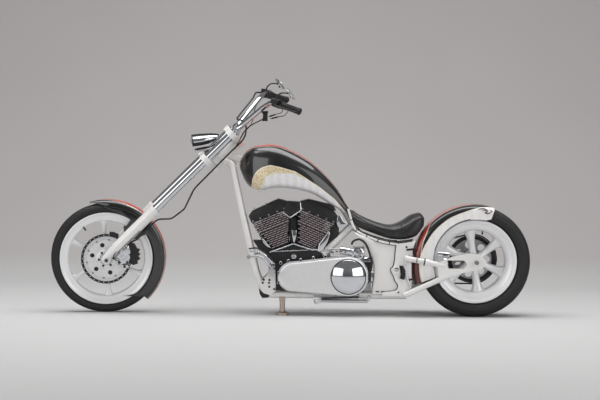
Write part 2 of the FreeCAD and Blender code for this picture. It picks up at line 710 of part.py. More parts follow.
FRONT_PLATE_OUTLINE = ((958, 150), (962, 208), (1018, 272), (1048, 276), (1048, 146), (1010, 112))


def front_plates():
    """Pair of bolted plates between the downtubes and the engine."""
    inner = size("rail_spread") + size("frame_tube_radius") + size("fit_gap")
    plates = both_plates(FRONT_PLATE_OUTLINE, inner, inner + size("plate_thick"))
    bridge = block(Vector(1000, -inner, 170), Vector(1050, inner, 200))
    shaped("front_plates", joined(plates + [bridge]))


OIL_TANK_OUTLINE = (
    (1514, 528), (1562, 500), (1690, 460), (1772, 436), (1772, 132), (1640, 132), (1650, 290),
    (1600, 420, 1638, 362),
)


def oil_tank(backbone, rails):
    side = size("side_width")
    body = plate(OIL_TANK_OUTLINE, -side, side)
    middle = block(Vector(1400, -58, 100), Vector(1760, 58, 700))
    side_edges = [edge for edge in body.Edges if is_side_edge(edge, side)]
    body = body.makeChamfer(size("tank_edge"), side_edges).cut(middle).cut(backbone)
    for rail in rails:
        body = body.cut(rail)
    shaped("oil_tank", body)


def is_side_edge(edge, side):
    return all(abs(abs(vertex.Point.y) - side) < 0.01 for vertex in edge.Vertexes)


PIVOT_OUTLINE = (
    (1776, 448), (1830, 450), (1868, 372), (1880, 250), (1872, 128), (1776, 128), (1790, 250),
)
PIVOT_BOSS = (1787, 288)


def pivot_plates():
    side = size("side_width") + 2
    plates = both_plates(PIVOT_OUTLINE, side, side + size("pivot_thick"))
    x, z = PIVOT_BOSS
    bosses = [bar(Vector(x, sign * side, z), Vector(x, sign * (side + size("pivot_boss_length")), z),
                  size("pivot_boss")) for sign in SIDES]
    bridge = block(Vector(1812, -side, 300), Vector(1850, side, 340))
    shaped("pivot_plates", joined(plates + bosses + [bridge]))


ARM_END = (
    (2030, 335), (2120, 372), (2215, 396), (2300, 388), (2334, 341), (2300, 296), (2220, 284),
    (2120, 256), (2046, 222),
)
ARM_WINDOW = ((2090, 352), (2100, 302), (2195, 302), (2215, 327), (2195, 352))
ARM_TUBES = (((1836, 362), (2075, 318)), ((1836, 134), (2075, 246)))


def swingarm():
    arms = []
    radius, half = size("arm_tube"), size("arm_half_thick")
    face = size("side_width") + 2 + size("pivot_thick") + size("fit_gap")
    for sign, side, root in ((-1, size("left_arm_side"), face + radius),
                             (1, size("right_arm_side"), face + 46)):
        side, root = sign * side, sign * root
        pieces = [plate(ARM_END, side - half, side + half)
                  .cut(plate(ARM_WINDOW, side - half - 1, side + half + 1))]
        for (x, z), (end_x, end_z) in ARM_TUBES:
            pieces.append(bar(Vector(x, root, z), Vector(end_x, side, end_z), radius))
            foot = Vector(x + 8, sign * face, z)
            pieces.append(bar(foot, Vector(foot.x, root, foot.z), size("arm_lug")))
        bore = bar(REAR_AXLE - Y_AXIS * 300, REAR_AXLE + Y_AXIS * 300, size("axle_radius"))
        arms.append(joined(pieces).cut(bore))
    shaped("swingarm", Part.makeCompound(arms))


def crowned(inner, half, skin, start, sweep):
    """Wide fender section with a flat crown and rounded shoulders, turned about Y."""
    shoulder = [(0, 0.54 * half), (6, 0.74 * half), (17, 0.9 * half), (34, half)]
    under = [(inner - drop, side) for drop, side in shoulder]
    over = [(inner + skin - drop * 0.92, side + skin * (side == half)) for drop, side in shoulder]
    half_profile = under + over[::-1]
    left = [(radius, -side) for radius, side in under[::-1]]
    left_over = [(radius, -side) for radius, side in over]
    return turned(left + half_profile + left_over, start, sweep)


def rear_fender():
    """Two arcs: one about the axle over the tyre, and a wider one that flares to the front."""
    half, skin = size("rear_fender_half"), size("fender_skin")
    inner, flare = size("rear_radius") + size("rear_fender_gap"), size("fender_flare")
    join, tail, foot = size("fender_join"), size("fender_tail"), size("fender_foot")

    def polar(radius, angle, lowered=0.0):
        across, up = math.cos(math.radians(join)), math.sin(math.radians(join))
        return (REAR_AXLE.x + radius * math.cos(math.radians(angle)) - lowered * across,
                REAR_AXLE.z + radius * math.sin(math.radians(angle)) - lowered * up)

    over = crowned(inner, half, skin, tail, join - tail)
    over.translate(REAR_AXLE)
    front = crowned(inner + flare, half, skin, join, foot - join)
    x, z = polar(0, 0, flare)
    front.translate(Vector(x, 0, z))
    edge, top = size("skirt_radius"), inner - 32
    skirt = [
        polar(edge, foot + 3), polar(edge, tail) + polar(edge, 140), polar(top, tail),
        polar(top, join) + polar(top, (tail + join) / 2),
        polar(top + flare, foot, flare) + polar(top + flare, (join + foot) / 2, flare),
    ]
    pieces = [over, front] + both_plates(skirt, half, half + skin)
    shaped("rear_fender", joined(pieces))


# body work

TANK_STATIONS = (
    # x, half width, lowest, widest, highest
    (827, 34, 880, 918, 956), (866, 84, 800, 890, 1008), (940, 130, 758, 868, 1040),
    (1069, 150, 776, 862, 1037), (1255, 136, 748, 820, 944), (1400, 104, 668, 722, 806),
    (1483, 78, 621, 650, 683),
)
SEAT_STATIONS = (
    (1500, 84, 596, 620, 648), (1563, 104, 542, 572, 598), (1656, 134, 508, 532, 557),
    (1748, 156, 476, 506, 537), (1820, 164, 466, 508, 564), (1885, 158, 480, 534, 606),
    (1922, 146, 500, 556, 618), (1954, 116, 540, 570, 596),
)


def lofted(stations, fullness):
    wires = [oval(*station, fullness) for station in stations]
    return Part.makeLoft(wires, True, False)


BELOW_BACKBONE = (
    (700, 976), (1280, 872), (1470, 640), (1560, 480), (1400, 400), (900, 600), (700, 700),
)
SEAT_CHANNEL = (
    (1400, 646), (1497, 646), (1562, 546), (1592, 520), (1808, 454), (1808, 300), (1400, 300),
)


def tank_and_seat():
    half = size("tank_channel")
    tunnel = tube(BACKBONE_ROUTE, BACKBONE_BENDS, half)
    shaped("fuel_tank", lofted(TANK_STATIONS, 0.8).cut(tunnel).cut(plate(BELOW_BACKBONE, -half, half)))
    reach = Y_AXIS * 300
    over_fender = bar(REAR_AXLE - reach, REAR_AXLE + reach, size("seat_cut_radius"))
    shaped("seat", lofted(SEAT_STATIONS, 0.84).cut(plate(SEAT_CHANNEL, -half, half)).cut(over_fender))


# engine

def cylinder_frame(lean):
    """Local frame of one cylinder: +Z up its axis, +X away from the other cylinder."""
    turn = Rotation(Y_AXIS, lean)
    return Placement(Vector(size("crank_x"), 0, size("crank_z")), turn)


def side_of_vee(sign, gap):
    """Space on one side of the upright plane between the two cylinders."""
    near, far = sorted((size("crank_x") + sign * gap, size("crank_x") + sign * 400))
    return block(Vector(near, -200, 0), Vector(far, 200, 900))


def fin_stack(sign):
    """Barrel and fins of one cylinder; the fins reach further inwards higher up."""
    start, top, fins = size("fin_start"), size("rocker_start"), int(size("fin_count"))
    low, side = size("deck_height"), size("fin_side")
    pieces = [Part.makeCylinder(size("bore_radius"), top - low, Vector(0, 0, low))]
    for index in range(fins):
        grown = index / fins
        height = start + (top - start) * grown
        outer = size("fin_reach") + size("fin_grow") * grown
        inner = size("fin_reach") + size("fin_grow_inner") * grown
        near, far = (-outer, inner) if sign < 0 else (-inner, outer)
        pieces.append(block(Vector(near, -side, height),
                            Vector(far, side, height + size("fin_thick"))))
    return joined(pieces)


def rocker_box(sign):
    top, high, side = size("rocker_start"), size("rocker_top"), size("rocker_side")
    cover = [(-118, top), (-118, top + 44), (-98, high), (90, high), (140, top + 36), (150, top)]
    face = Part.Face(outline([(-sign * x, z) for x, z in cover], -side))
    return face.extrude(Y_AXIS * side * 2)


def cylinders(case):
    for label, sign in (("front", -1), ("rear", 1)):
        local = cylinder_frame(sign * size("cylinder_lean"))
        stack, box = fin_stack(sign), rocker_box(sign)
        stack.Placement = box.Placement = local
        shaped("cylinder_" + label, stack.common(side_of_vee(sign, size("vee_gap"))).cut(case))
        shaped("rocker_" + label, box.common(side_of_vee(sign, size("rocker_gap"))))


CASE_DECK = (
    (1064, 300), (1080, 372), (1153, 346), (1226, 372), (1330, 372), (1370, 300), (1370, 148),
    (1080, 148),
)


def crankcase():
    half = size("engine_half_width")
    centre = Vector(size("crank_x"), 0, size("crank_z"))
    drum = bar(centre - Y_AXIS * size("primary_inner"), centre + Y_AXIS * half, size("drum_radius"))
    case = joined([drum, plate(CASE_DECK, -half + 10, half - 10)])
    shaped("crankcase", case)
    return case


def gearbox():
    half, side = size("belt_width") / 2, size("gearbox_side")
    x, z = size("clutch_x"), size("clutch_z")
    body = block(Vector(1372, -side, 150), Vector(1636, side, 326))
    bell = bar(Vector(x, -size("primary_inner"), z), Vector(x, -side, z), size("bell_radius"))
    shaft = bar(Vector(x, side, z), Vector(x, size("shaft_end"), z), size("shaft_radius"))
    pulley = bar(Vector(x, size("pulley_side") - half, z), Vector(x, size("pulley_side") + half, z),
                 size("gearbox_pulley_radius"))
    shaped("gearbox", joined([body, bell, shaft, pulley]))


def primary():
    front = (size("crank_x"), size("crank_z") - 2)
    rear = (size("clutch_x"), size("clutch_z"))
    radii = size("primary_front_radius"), size("primary_rear_radius")
    inner, outer = size("primary_inner"), size("primary_outer")
    case = plate(hull_of_circles(front, radii[0], rear, radii[1]), -outer, -inner)
    side_edges = [edge for edge in case.Edges if is_side_edge(edge, outer)]
    case = case.makeChamfer(size("cover_edge"), side_edges)
    shaped("primary_cover", case)
    at = Vector(size("clutch_x"), -outer, size("clutch_z"))
    radius, rise = size("clutch_radius"), size("dome_rise")
    ball = (radius ** 2 + rise ** 2) / (2 * rise)
    dome = Part.makeSphere(ball, at + Y_AXIS * (ball - rise))
    dome = dome.common(block(at - Vector(ball, rise, ball), at + Vector(ball, 0, ball)))
    shaped("clutch_dome", dome)


def starter():
    can = bar(Vector(1560, -68, 331), Vector(1556, -68, 426), size("starter_radius"))
    solenoid = bar(Vector(1440, -126, 404), Vector(1550, -126, 388), size("solenoid_radius"))
    shaped("starter", joined([can, solenoid]))


EXHAUST_PORTS = ((1010, 560, 318), (1320, 560, 232))  # port x and z, height of the low run


def right_side():
    half, x, z = size("engine_half_width"), size("crank_x"), size("cleaner_z")
    cam_at = Vector(x, half, 262)
    shaped("cam_cover", bar(cam_at, cam_at + Y_AXIS * size("cam_thick"), size("cam_radius")))
    cleaner = bar(Vector(x, 84, z), Vector(x, 176, z), size("cleaner_radius"))
    throat = bar(Vector(x, 20, z), Vector(x, 84, z), size("throat_radius"))
    shaped("air_cleaner", joined([cleaner, throat]))
    pipes, side = [], size("pipe_side")
    for x, z, low in EXHAUST_PORTS:
        route = [(x, 84, z), (x, 205, z - 30), (x + 60, side - 4, low + 60), (x + 190, side, low),
                 (size("pipe_end"), side, low)]
        pipes.append(tube(route, (50, 60, 60), size("pipe_radius")))
    shaped("exhaust_pipes", Part.makeCompound(pipes))


PEG_AT = (1026, 284)
TOE_ROUTE = ((1026, 292), (960, 362), (886, 362))


def foot_controls():
    pieces = []
    for sign in SIDES:
        mount = block(Vector(1004, -30, 244), Vector(1044, 30, 300))
        mount.translate(Y_AXIS * sign * size("control_side"))
        x, z = PEG_AT
        peg = bar(Vector(x, sign * 165, z), Vector(x, sign * size("peg_end"), z), size("peg_radius"))
        side = sign * size("toe_arm_side")
        arm = tube([(x, side, z) for x, z in TOE_ROUTE], (60,), size("toe_arm_radius"))
        x, z = TOE_ROUTE[-1]
        toe = bar(Vector(x, sign * 150, z), Vector(x, sign * 232, z), size("toe_peg_radius"))
        pieces.append(joined([mount, peg, arm, toe]))
    shaped("foot_controls", Part.makeCompound(pieces))


def drive_belt():
    front = (size("clutch_x"), size("clutch_z"))
    rear = (REAR_AXLE.x, REAR_AXLE.z)
    thick, half = size("belt_thick"), size("belt_width") / 2
    small, large = size("gearbox_pulley_radius"), size("pulley_radius")
    side = size("pulley_side")
    large += size("belt_clearance")
    outer = plate(hull_of_circles(front, small + thick, rear, large + thick), side - half, side + half)
    inner = plate(hull_of_circles(front, small, rear, large), side - half, side + half)
    shaped("drive_belt", outer.cut(inner))


# stands

def support_post(rails):
    at = Vector(size("post_x"), -size("rail_spread"), 0)
    foot, thick, top = (Z_AXIS * size(alias) for alias in ("post_foot", "post_base_thick", "post_top"))
    radius, wide = size("post_radius"), size("post_base_radius")
    base = bar(at, at + foot, wide)
    taper = bar(at + foot, at + thick, wide, radius + 4)
    column = bar(at, at + top, radius)
    saddle = block(at + top + Vector(-19, -24, -26), at + top + Vector(19, 24, 0))
    whole = joined([base, taper, column, saddle])
    for rail in rails:
        whole = whole.cut(rail)
    lowest = min(whole.Solids, key=lambda solid: solid.BoundBox.ZMin)
    shaped("support_post", lowest)


def side_stand(rails):
    """Leg, and its bracket with the pin, both along the leaning hinge axis."""
    at = Vector(size("stand_x"), -size("stand_side"), size("stand_height"))
    local = Placement(at, Rotation(X_AXIS, size("stand_lean")))
    end = X_AXIS * size("stand_length")
    pin_radius = size("stand_pin_radius")
    leg = bar(Vector(), end, size("stand_radius"))
    foot = tube([tuple(end - X_AXIS * 20), tuple(end), tuple(end + Vector(8, 0, 34))], (14,),
                size("stand_foot_radius"))
    eye = bar(Z_AXIS * -14, Z_AXIS * 14, size("stand_eye"))
    hole = bar(Z_AXIS * -20, Z_AXIS * 20, pin_radius + size("hub_clearance"))
    swing = joined([leg, foot, eye]).cut(hole)
    swing.Placement = local
    shaped("side_stand", swing)
    pin = bar(Z_AXIS * -20, Z_AXIS * 18, pin_radius)
    head = bar(Z_AXIS * -20, Z_AXIS * -15, pin_radius + 5)
    lug = block(Vector(-17, -16, 15), Vector(17, 32, 24))
    bracket = joined([pin, head, lug])
    bracket.Placement = local
    left_rail, right_rail = rails
    shaped("lower_rails", Part.makeCompound([joined([left_rail, bracket]), right_rail]))


front_wheel()
rear_wheel()
axles()
leg_tubes = fork_legs()
clamp_shape = triple_clamps(leg_tubes)
handlebar_shape = handlebar(clamp_shape)
hand_controls(handlebar_shape)
headlamp(clamp_shape)
front_fender()
caliper_shape = front_caliper()
brake_hose(caliper_shape)
case_shape = crankcase()
backbone_shape, rail_shapes = frame(case_shape)
front_plates()
oil_tank(backbone_shape, rail_shapes)
pivot_plates()
swingarm()
rear_fender()
tank_and_seat()
cylinders(case_shape)
gearbox()
primary()
starter()
right_side()
foot_controls()
drive_belt()
support_post(rail_shapes)
side_stand(rail_shapes)

doc.recompute()
for item in doc.Objects:
    if "Invalid" in item.State or "Error" in item.State:
        raise RuntimeError(f"{item.Label} failed: {item.State}")
os.makedirs("parts", exist_ok=True)
for label, piece in parts.items():
    if piece.Shape.isNull() or not piece.Shape.isValid():
        raise RuntimeError(f"{label} has no sound shape")
    piece.Shape.exportStep(f"parts/{label}.step")
print(f"{len(parts)} sub-parts written")
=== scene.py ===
import json
import math

import bmesh
import bpy
from mathutils import Matrix, Vector


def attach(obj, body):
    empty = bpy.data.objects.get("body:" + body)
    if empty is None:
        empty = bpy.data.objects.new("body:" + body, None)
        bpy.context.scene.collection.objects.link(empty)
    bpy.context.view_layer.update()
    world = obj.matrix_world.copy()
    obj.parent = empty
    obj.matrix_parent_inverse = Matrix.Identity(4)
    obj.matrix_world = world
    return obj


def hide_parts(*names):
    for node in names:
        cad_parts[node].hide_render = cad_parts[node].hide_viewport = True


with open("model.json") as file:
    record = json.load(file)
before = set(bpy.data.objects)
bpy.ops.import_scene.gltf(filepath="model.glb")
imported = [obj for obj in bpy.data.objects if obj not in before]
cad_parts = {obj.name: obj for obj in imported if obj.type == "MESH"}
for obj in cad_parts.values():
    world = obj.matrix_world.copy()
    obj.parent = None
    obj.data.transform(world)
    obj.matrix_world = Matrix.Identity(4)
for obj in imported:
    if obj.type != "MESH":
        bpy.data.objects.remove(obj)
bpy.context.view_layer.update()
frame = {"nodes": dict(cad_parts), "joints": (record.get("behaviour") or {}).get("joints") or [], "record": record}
print("stage: frame loaded")

mm = 0.001
wheelbase = 2.270
frontAxleHeight, rearAxleHeight = 0.338, 0.341
steeringRest = 8  # degrees to the left
left, right = -1, 1
leftward = (0, -1, 0)
joints = {joint["name"]: joint for joint in frame["joints"]}


def jointPlace(name):
    return Vector(joints[name]["pos_m"])


rearAxle = jointPlace("rear_wheel_spin")
turnedAxle = jointPlace("front_wheel_spin")
straightAxle = Vector((rearAxle.x - wheelbase, 0, frontAxleHeight))  # front axle with the fork straight


def at(x, y, z):  # millimetres from the point on the floor below the front axle
    return Vector((straightAxle.x + x * mm, y * mm, z * mm))


def steering(foot, axis):  # carries the straight fork to its place at rest
    swing = (Matrix.Translation(foot) @ Matrix.Rotation(math.radians(steeringRest), 4, axis)
             @ Matrix.Translation(-foot))
    return Matrix.Translation(turnedAxle - swing @ straightAxle) @ swing


steer = steering(jointPlace("steering"), Vector(joints["steering"]["axis"]).normalized())
still = Matrix.Identity(4)
frontWheel = steer @ Matrix.Translation(straightAxle)
rearWheel = Matrix.Translation(rearAxle)
wheels = {"front": (frontWheel, "front_wheel"), "rear": (rearWheel, "rear_wheel")}


def onFork(along, behind=0.0, side=0.0):
    rake = math.sqrt(0.5)
    return straightAxle + Vector((rake * (along + behind), side, rake * (along - behind))) * mm


# mesh code

def smoothShell(mesh, sharpAngle):
    shell = bmesh.new()
    shell.from_mesh(mesh)
    bmesh.ops.recalc_face_normals(shell, faces=shell.faces)
    for face in shell.faces:
        face.smooth = True
    for edge in shell.edges:
        edge.smooth = len(edge.link_faces) == 2 and edge.calc_face_angle(0) < math.radians(sharpAngle)
    shell.to_mesh(mesh)
    shell.free()


class Batch:  # gathers closed shells into one piece

    def __init__(self):
        self.verts, self.faces, self.slots = [], [], []

    def add(self, shell, slot=0, place=still):
        verts, faces = shell
        base = len(self.verts)
        self.verts += [place @ Vector(vert) for vert in verts]
        self.faces += [tuple(base + index for index in face) for face in faces]
        self.slots += [slot] * len(faces)
        return self

    def piece(self, name, body, materials, sharpAngle=38, place=still):
        mesh = bpy.data.meshes.new(name)
        mesh.from_pydata([place @ vert for vert in self.verts], [], self.faces)
        for material in materials if isinstance(materials, (list, tuple)) else [materials]:
            mesh.materials.append(material)
        for polygon, slot in zip(mesh.polygons, self.slots):
            polygon.material_index = slot
        smoothShell(mesh, sharpAngle)
        made = bpy.data.objects.new(name, mesh)
        bpy.context.scene.collection.objects.link(made)
        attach(made, body)
        return made


def circle(count):  # cosine and sine of equal steps round a circle
    return [(math.cos(math.tau * step / count), math.sin(math.tau * step / count)) for step in range(count)]


def softened(value, power):  # a power below 1 squares a round off, above 1 pinches it
    return math.copysign(abs(value) ** power, value)


def metres(points):  # pairs in millimetres to metres
    return [(first * mm, second * mm) for first, second in points]


def bothSides(half):  # closes a half profile of (radius, side) with its mirror image
    return [(radius, -side) for radius, side in half] + half[::-1]


def loft(rings, looped=False):
    verts = [point for ring in rings for point in ring]
    count = len(rings[0])
    faces = []
    for ring in range(len(rings) if looped else len(rings) - 1):
        here, there = ring * count, (ring + 1) % len(rings) * count
        for index in range(count):
            follow = (index + 1) % count
            faces.append((here + index, here + follow, there + follow, there + index))
    if not looped:
        faces.append(tuple(reversed(range(count))))
        faces.append(tuple(range(len(verts) - count, len(verts))))
    return verts, faces


def lathe(profile, steps=96):  # closed (radius, side) profile about local Y
    rings = [[(radius * c, side, radius * s) for radius, side in profile] for c, s in circle(steps)]
    return loft(rings, True)


def rod(points, radius, sides=12):  # radius is one value, or one for each point
    points = [Vector(point) for point in points]
    reach = radius if isinstance(radius, (list, tuple)) else [radius] * len(points)
    normal = (points[1] - points[0]).orthogonal().normalized()
    rings = []
    for index, point in enumerate(points):
        ahead = points[min(index + 1, len(points) - 1)] - points[max(index - 1, 0)]
        ahead.normalize()
        normal = (normal - ahead * normal.dot(ahead)).normalized()
        across = ahead.cross(normal)
        rings.append([point + (normal * c + across * s) * reach[index] for c, s in circle(sides)])
    return loft(rings)


def smoothLine(points, steps=8):  # Catmull-Rom line through points of any dimension
    points = [Vector(point) for point in points]
    run = [points[0] * 2 - points[1], *points, points[-1] * 2 - points[-2]]
    line = []
    for a, b, c, d in zip(run, run[1:], run[2:], run[3:]):
        for step in range(steps):
            t = step / steps
            line.append((b * 2 + (c - a) * t + (a * 2 - b * 5 + c * 4 - d) * t ** 2
                         + (b * 3 - a - c * 3 + d) * t ** 3) * 0.5)
    return line + [points[-1]]


def insetOutline(outline, inset):  # moves each corner inwards, outline runs anticlockwise
    moved = []
    for index, point in enumerate(outline):
        before = (Vector(point) - Vector(outline[index - 1])).normalized()
        after = (Vector(outline[(index + 1) % len(outline)]) - Vector(point)).normalized()
        inward = Vector((-before.y - after.y, before.x + after.x))
        inward /= max(inward.length_squared / 2, 0.35)
        moved.append(Vector(point) + inward * inset)
    return moved


def plate(outline, low, high, ease=0.0):  # XZ outline between two Y planes, with eased edges
    area = sum(a[0] * b[1] - b[0] * a[1] for a, b in zip(outline, outline[1:] + outline[:1]))
    outline = [Vector(point) for point in (outline if area > 0 else outline[::-1])]
    levels = [(0, ease), (ease * 0.3, ease * 0.3), (ease, 0)] if ease else [(0, 0)]
    sections = [(low + depth, inset) for depth, inset in levels]
    sections += [(high - depth, inset) for depth, inset in reversed(levels)]
    return loft([[(p.x, side, p.y) for p in insetOutline(outline, inset)] for side, inset in sections])


def framePlate(outline, low, high, ease):  # the same in millimetres from the front axle's floor point
    return plate([(straightAxle.x + x * mm, z * mm) for x, z in outline], low * mm, high * mm, ease * mm)


def block(centre, size, ease=0.0):
    x, y, z = (span / 2 for span in size)
    verts, faces = plate([(-x, -z), (x, -z), (x, z), (-x, z)], -y, y, ease)
    return [Vector(vert) + Vector(centre) for vert in verts], faces


def polar(centre, radius, angle):
    turn = math.radians(angle)
    return centre[0] + radius * math.cos(turn), centre[1] + radius * math.sin(turn)


def arcPoints(centre, radius, start, end, steps):
    return [polar(centre, radius, start + (end - start) * step / steps) for step in range(steps + 1)]


def spotsRound(reach, count, side, phase):  # points in millimetres, equally spaced round local Y
    turns = (math.tau * (index + phase) / count for index in range(count))
    return [Vector((reach * math.cos(turn), side, reach * math.sin(turn))) * mm for turn in turns]


def stationRing(x, half, low, wide, high, fullness, around, inset=0.0):
    ring = []  # section across a body, in millimetres
    for c, s in circle(around):
        reach = (high - wide if s > 0 else wide - low) - inset
        ring.append((x, (half - inset) * softened(c, fullness), wide + reach * softened(s, fullness)))
    return ring


def facing(place, direction):  # carries local -Y onto the direction
    turn = Vector(leftward).rotation_difference(Vector(direction)).to_matrix().to_4x4()
    return Matrix.Translation(place) @ turn


def bolt(radius=0.005, height=0.004, socket=False):  # head towards local -Y
    levels = [(0, 1.35), (-0.2, 1.35), (-0.24, 1.0), (-0.85, 1.0), (-1, 0.84)]
    levels += [(-1, 0.52), (-0.4, 0.5)] if socket else []
    section = circle(14 if socket else 6)
    return loft([[(radius * reach * c, height * side, radius * reach * s) for c, s in section]
                 for side, reach in levels])


# materials

def linear(code):  # sRGB hex to linear colour
    parts = [int(code[place:place + 2], 16) / 255 for place in (1, 3, 5)]
    return tuple([part / 12.92 if part <= 0.04045 else ((part + 0.055) / 1.055) ** 2.4
                  for part in parts] + [1.0])


def feed(tree, node, inputs):  # links nodes and sockets, sets plain values
    for name, value in inputs.items():
        if isinstance(value, bpy.types.Node):
            value = value.outputs[2] if getattr(value, "data_type", "") == "RGBA" else value.outputs[0]
        if isinstance(value, bpy.types.NodeSocket):
            tree.links.new(value, node.inputs[name])
        else:
            node.inputs[name].default_value = value


def add(tree, kind, inputs=None, **settings):
    made = tree.nodes.new("ShaderNode" + kind)
    for name, value in settings.items():
        setattr(made, name, value)
    feed(tree, made, inputs or {})
    return made


def startMaterial(name, colour, **values):
    material = bpy.data.materials.new(name)
    material.use_nodes = True
    tree = material.node_tree
    shader = tree.nodes["Principled BSDF"]
    values = {socket.replace("_", " "): value for socket, value in values.items()}
    feed(tree, shader, {"Base Color": linear(colour), **values})
    place = add(tree, "TexCoord").outputs["Object"]
    return material, tree, shader, place


# Joins a surface to its shader: colour by a mask, roughness by wear, and relief in millimetres.
def coverSurface(tree, shader, colour, roughness, relief, normal="Normal"):
    mask, base, shade = colour
    wear, low, high = roughness
    height, depth, strength = relief
    feed(tree, shader, {
        "Base Color": add(tree, "Mix", {0: mask, 6: linear(base), 7: linear(shade)}, data_type="RGBA"),
        "Roughness": add(tree, "MapRange", {"Value": wear, "To Min": low, "To Max": high}),
        normal: add(tree, "Bump", {"Height": height, "Distance": depth * mm, "Strength": strength})})


# Chrome plate: buffed before plating, so it mirrors clearly with a faint haze in patches.
def chromePlate(name="chromePlate", colour="#E2E3E6", shade="#C4C7CD", roughness=0.05, haze=0.06):
    material, tree, shader, place = startMaterial(name, colour, Metallic=1.0, Roughness=roughness)
    patches = add(tree, "TexNoise", {"Vector": place, "Scale": 1 / (38 * mm), "Detail": 4.0})
    ripple = add(tree, "TexNoise", {"Vector": place, "Scale": 1 / (16 * mm)})
    coverSurface(tree, shader, (patches, colour, shade), (patches, roughness, roughness + haze),
           (ripple, 0.05, 0.35))
    return material


# Sprayed enamel: colour coat under clear lacquer, with a fine orange peel that bends reflections.
def enamel(name, colour, shade, roughness=0.32, peel=0.05, flake=0.0):
    material, tree, shader, place = startMaterial(name, colour, Metallic=flake, Coat_Weight=1.0,
                                                  Coat_Roughness=0.04, Coat_IOR=1.5)
    clouds = add(tree, "TexNoise", {"Vector": place, "Scale": 1 / (90 * mm), "Detail": 3.0})
    skin = add(tree, "TexNoise", {"Vector": place, "Scale": 1 / (3.2 * mm)})
    coverSurface(tree, shader, (clouds, colour, shade), (clouds, roughness - 0.06, roughness + 0.06),
           (skin, peel, 0.25), "Coat Normal")
    return material


# Black powder coat on cast metal: baked hard, slightly grained, dusty where it is dull.
def powderCoat(name, colour="#0A0A0C", dust="#1D1C1E", roughness=0.4, size=1.4):
    material, tree, shader, place = startMaterial(name, colour)
    patches = add(tree, "TexNoise", {"Vector": place, "Scale": 1 / (26 * mm), "Detail": 5.0})
    grains = add(tree, "TexNoise", {"Vector": place, "Scale": 1 / (size * mm), "Detail": 3.0})
    dusty = add(tree, "MapRange", {"Value": patches, "From Min": 0.35, "From Max": 0.85})
    coverSurface(tree, shader, (dusty, colour, dust), (patches, roughness - 0.1, roughness + 0.14),
           (grains, 0.12, 0.5))
    return material


# Cast aluminium, bead blasted and lightly buffed: a soft grey sheen with fine pits.
def castAluminium(name="castAluminium", colour="#C4C5C8", shade="#A3A4A9", roughness=0.3):
    material, tree, shader, place = startMaterial(name, colour, Metallic=1.0)
    patches = add(tree, "TexNoise", {"Vector": place, "Scale": 1 / (34 * mm), "Detail": 5.0})
    pits = add(tree, "TexNoise", {"Vector": place, "Scale": 1 / (0.9 * mm), "Detail": 4.0})
    coverSurface(tree, shader, (patches, colour, shade), (patches, roughness - 0.08, roughness + 0.12),
           (pits, 0.06, 0.5))
    return material


# Steel, turned or brushed in one direction: fine lines that stretch the highlight.
def brushedSteel(name="brushedSteel", colour="#E4E5E7", shade="#CCCDD0", stretch=(1, 1, 14), roughness=0.27):
    material, tree, shader, place = startMaterial(name, colour, Metallic=1.0)
    lines = add(tree, "TexNoise", {"Vector": add(tree, "Mapping", {"Vector": place, "Scale": stretch}),
                                   "Scale": 1 / (14 * mm), "Detail": 4.0})
    coverSurface(tree, shader, (lines, colour, shade), (lines, roughness - 0.08, roughness + 0.12),
           (lines, 0.03, 0.4))
    return material


# Vulcanised rubber: carbon black, matt, with pale dust and mould grain.
def mouldedRubber(name, colour="#0C0C0D", dust="#1B1A1A", roughness=0.62, size=1.1):
    material, tree, shader, place = startMaterial(name, colour, IOR=1.52)
    patches = add(tree, "TexNoise", {"Vector": place, "Scale": 1 / (45 * mm), "Detail": 6.0,
                                     "Roughness": 0.62})
    grains = add(tree, "TexNoise", {"Vector": place, "Scale": 1 / (size * mm), "Detail": 3.0})
    coverSurface(tree, shader, (patches, colour, dust), (patches, roughness - 0.12, roughness + 0.1),
           (grains, 0.1, 0.5))
    return material


# Full-grain hide, dyed black and waxed: pebbled cells with a soft shine on the crests.
def waxedHide(name, colour, shade):
    material, tree, shader, place = startMaterial(name, colour, Coat_Weight=0.15, Coat_Roughness=0.3)
    cells = add(tree, "TexVoronoi", {"Vector": place, "Scale": 1 / (3.2 * mm)},
                feature="SMOOTH_F1")  # pebbles drawn coarse to show
    patches = add(tree, "TexNoise", {"Vector": place, "Scale": 1 / (70 * mm), "Detail": 4.0})
    folds = add(tree, "TexNoise", {"Vector": place, "Scale": 1 / (24 * mm), "Detail": 3.0})
    height = add(tree, "Math", {0: cells, 1: folds}, operation="ADD")
    coverSurface(tree, shader, (patches, colour, shade), (cells, 0.32, 0.58), (height, 0.35, 0.45))
    return material


chrome = chromePlate()
# Silver-white wheel enamel: aluminium flake in a pale base under clear, even with a satin glow.
wheelSilver = enamel("silverWhiteEnamel", "#EFEFF0", "#E6E6E8", 0.38, 0.05, 0.2)
pearlWhite = enamel("pearlWhiteEnamel", "#E9E7E5", "#DFDDDB")
glossBlack = enamel("glossBlackEnamel", "#050506", "#0A0A0C", 0.25)
engineBlack = powderCoat("blackPowderCoat")
satinCast = castAluminium()
# Bead-blasted alloy, left bare: pale, even and soft, with no sharp reflection.
blastedAlloy = castAluminium("blastedAlloy", "#EBEBEB", "#E0E0E1", 0.5)
discSteel = brushedSteel()
axleSteel = brushedSteel("turnedSteel", "#A9ABB0", "#85878C", (1, 14, 1))
tyreRubber = mouldedRubber("tyreRubber")
gripRubber = mouldedRubber("gripRubber", "#0B0B0C", "#19191A", 0.55, 0.8)
beltRubber = mouldedRubber("beltRubber", "#0E0E0F", "#201F1F", 0.6, 0.9)
hide = waxedHide("waxedHide", "#0E0E10", "#1A1A1D")
blackAnodised = powderCoat("blackAnodised", "#0B0B0D", "#19191C", 0.32, 0.6)
postMetal = brushedSteel("bareSteelPost", "#C8B8AC", "#AFA39B", (1, 1, 10), 0.4)

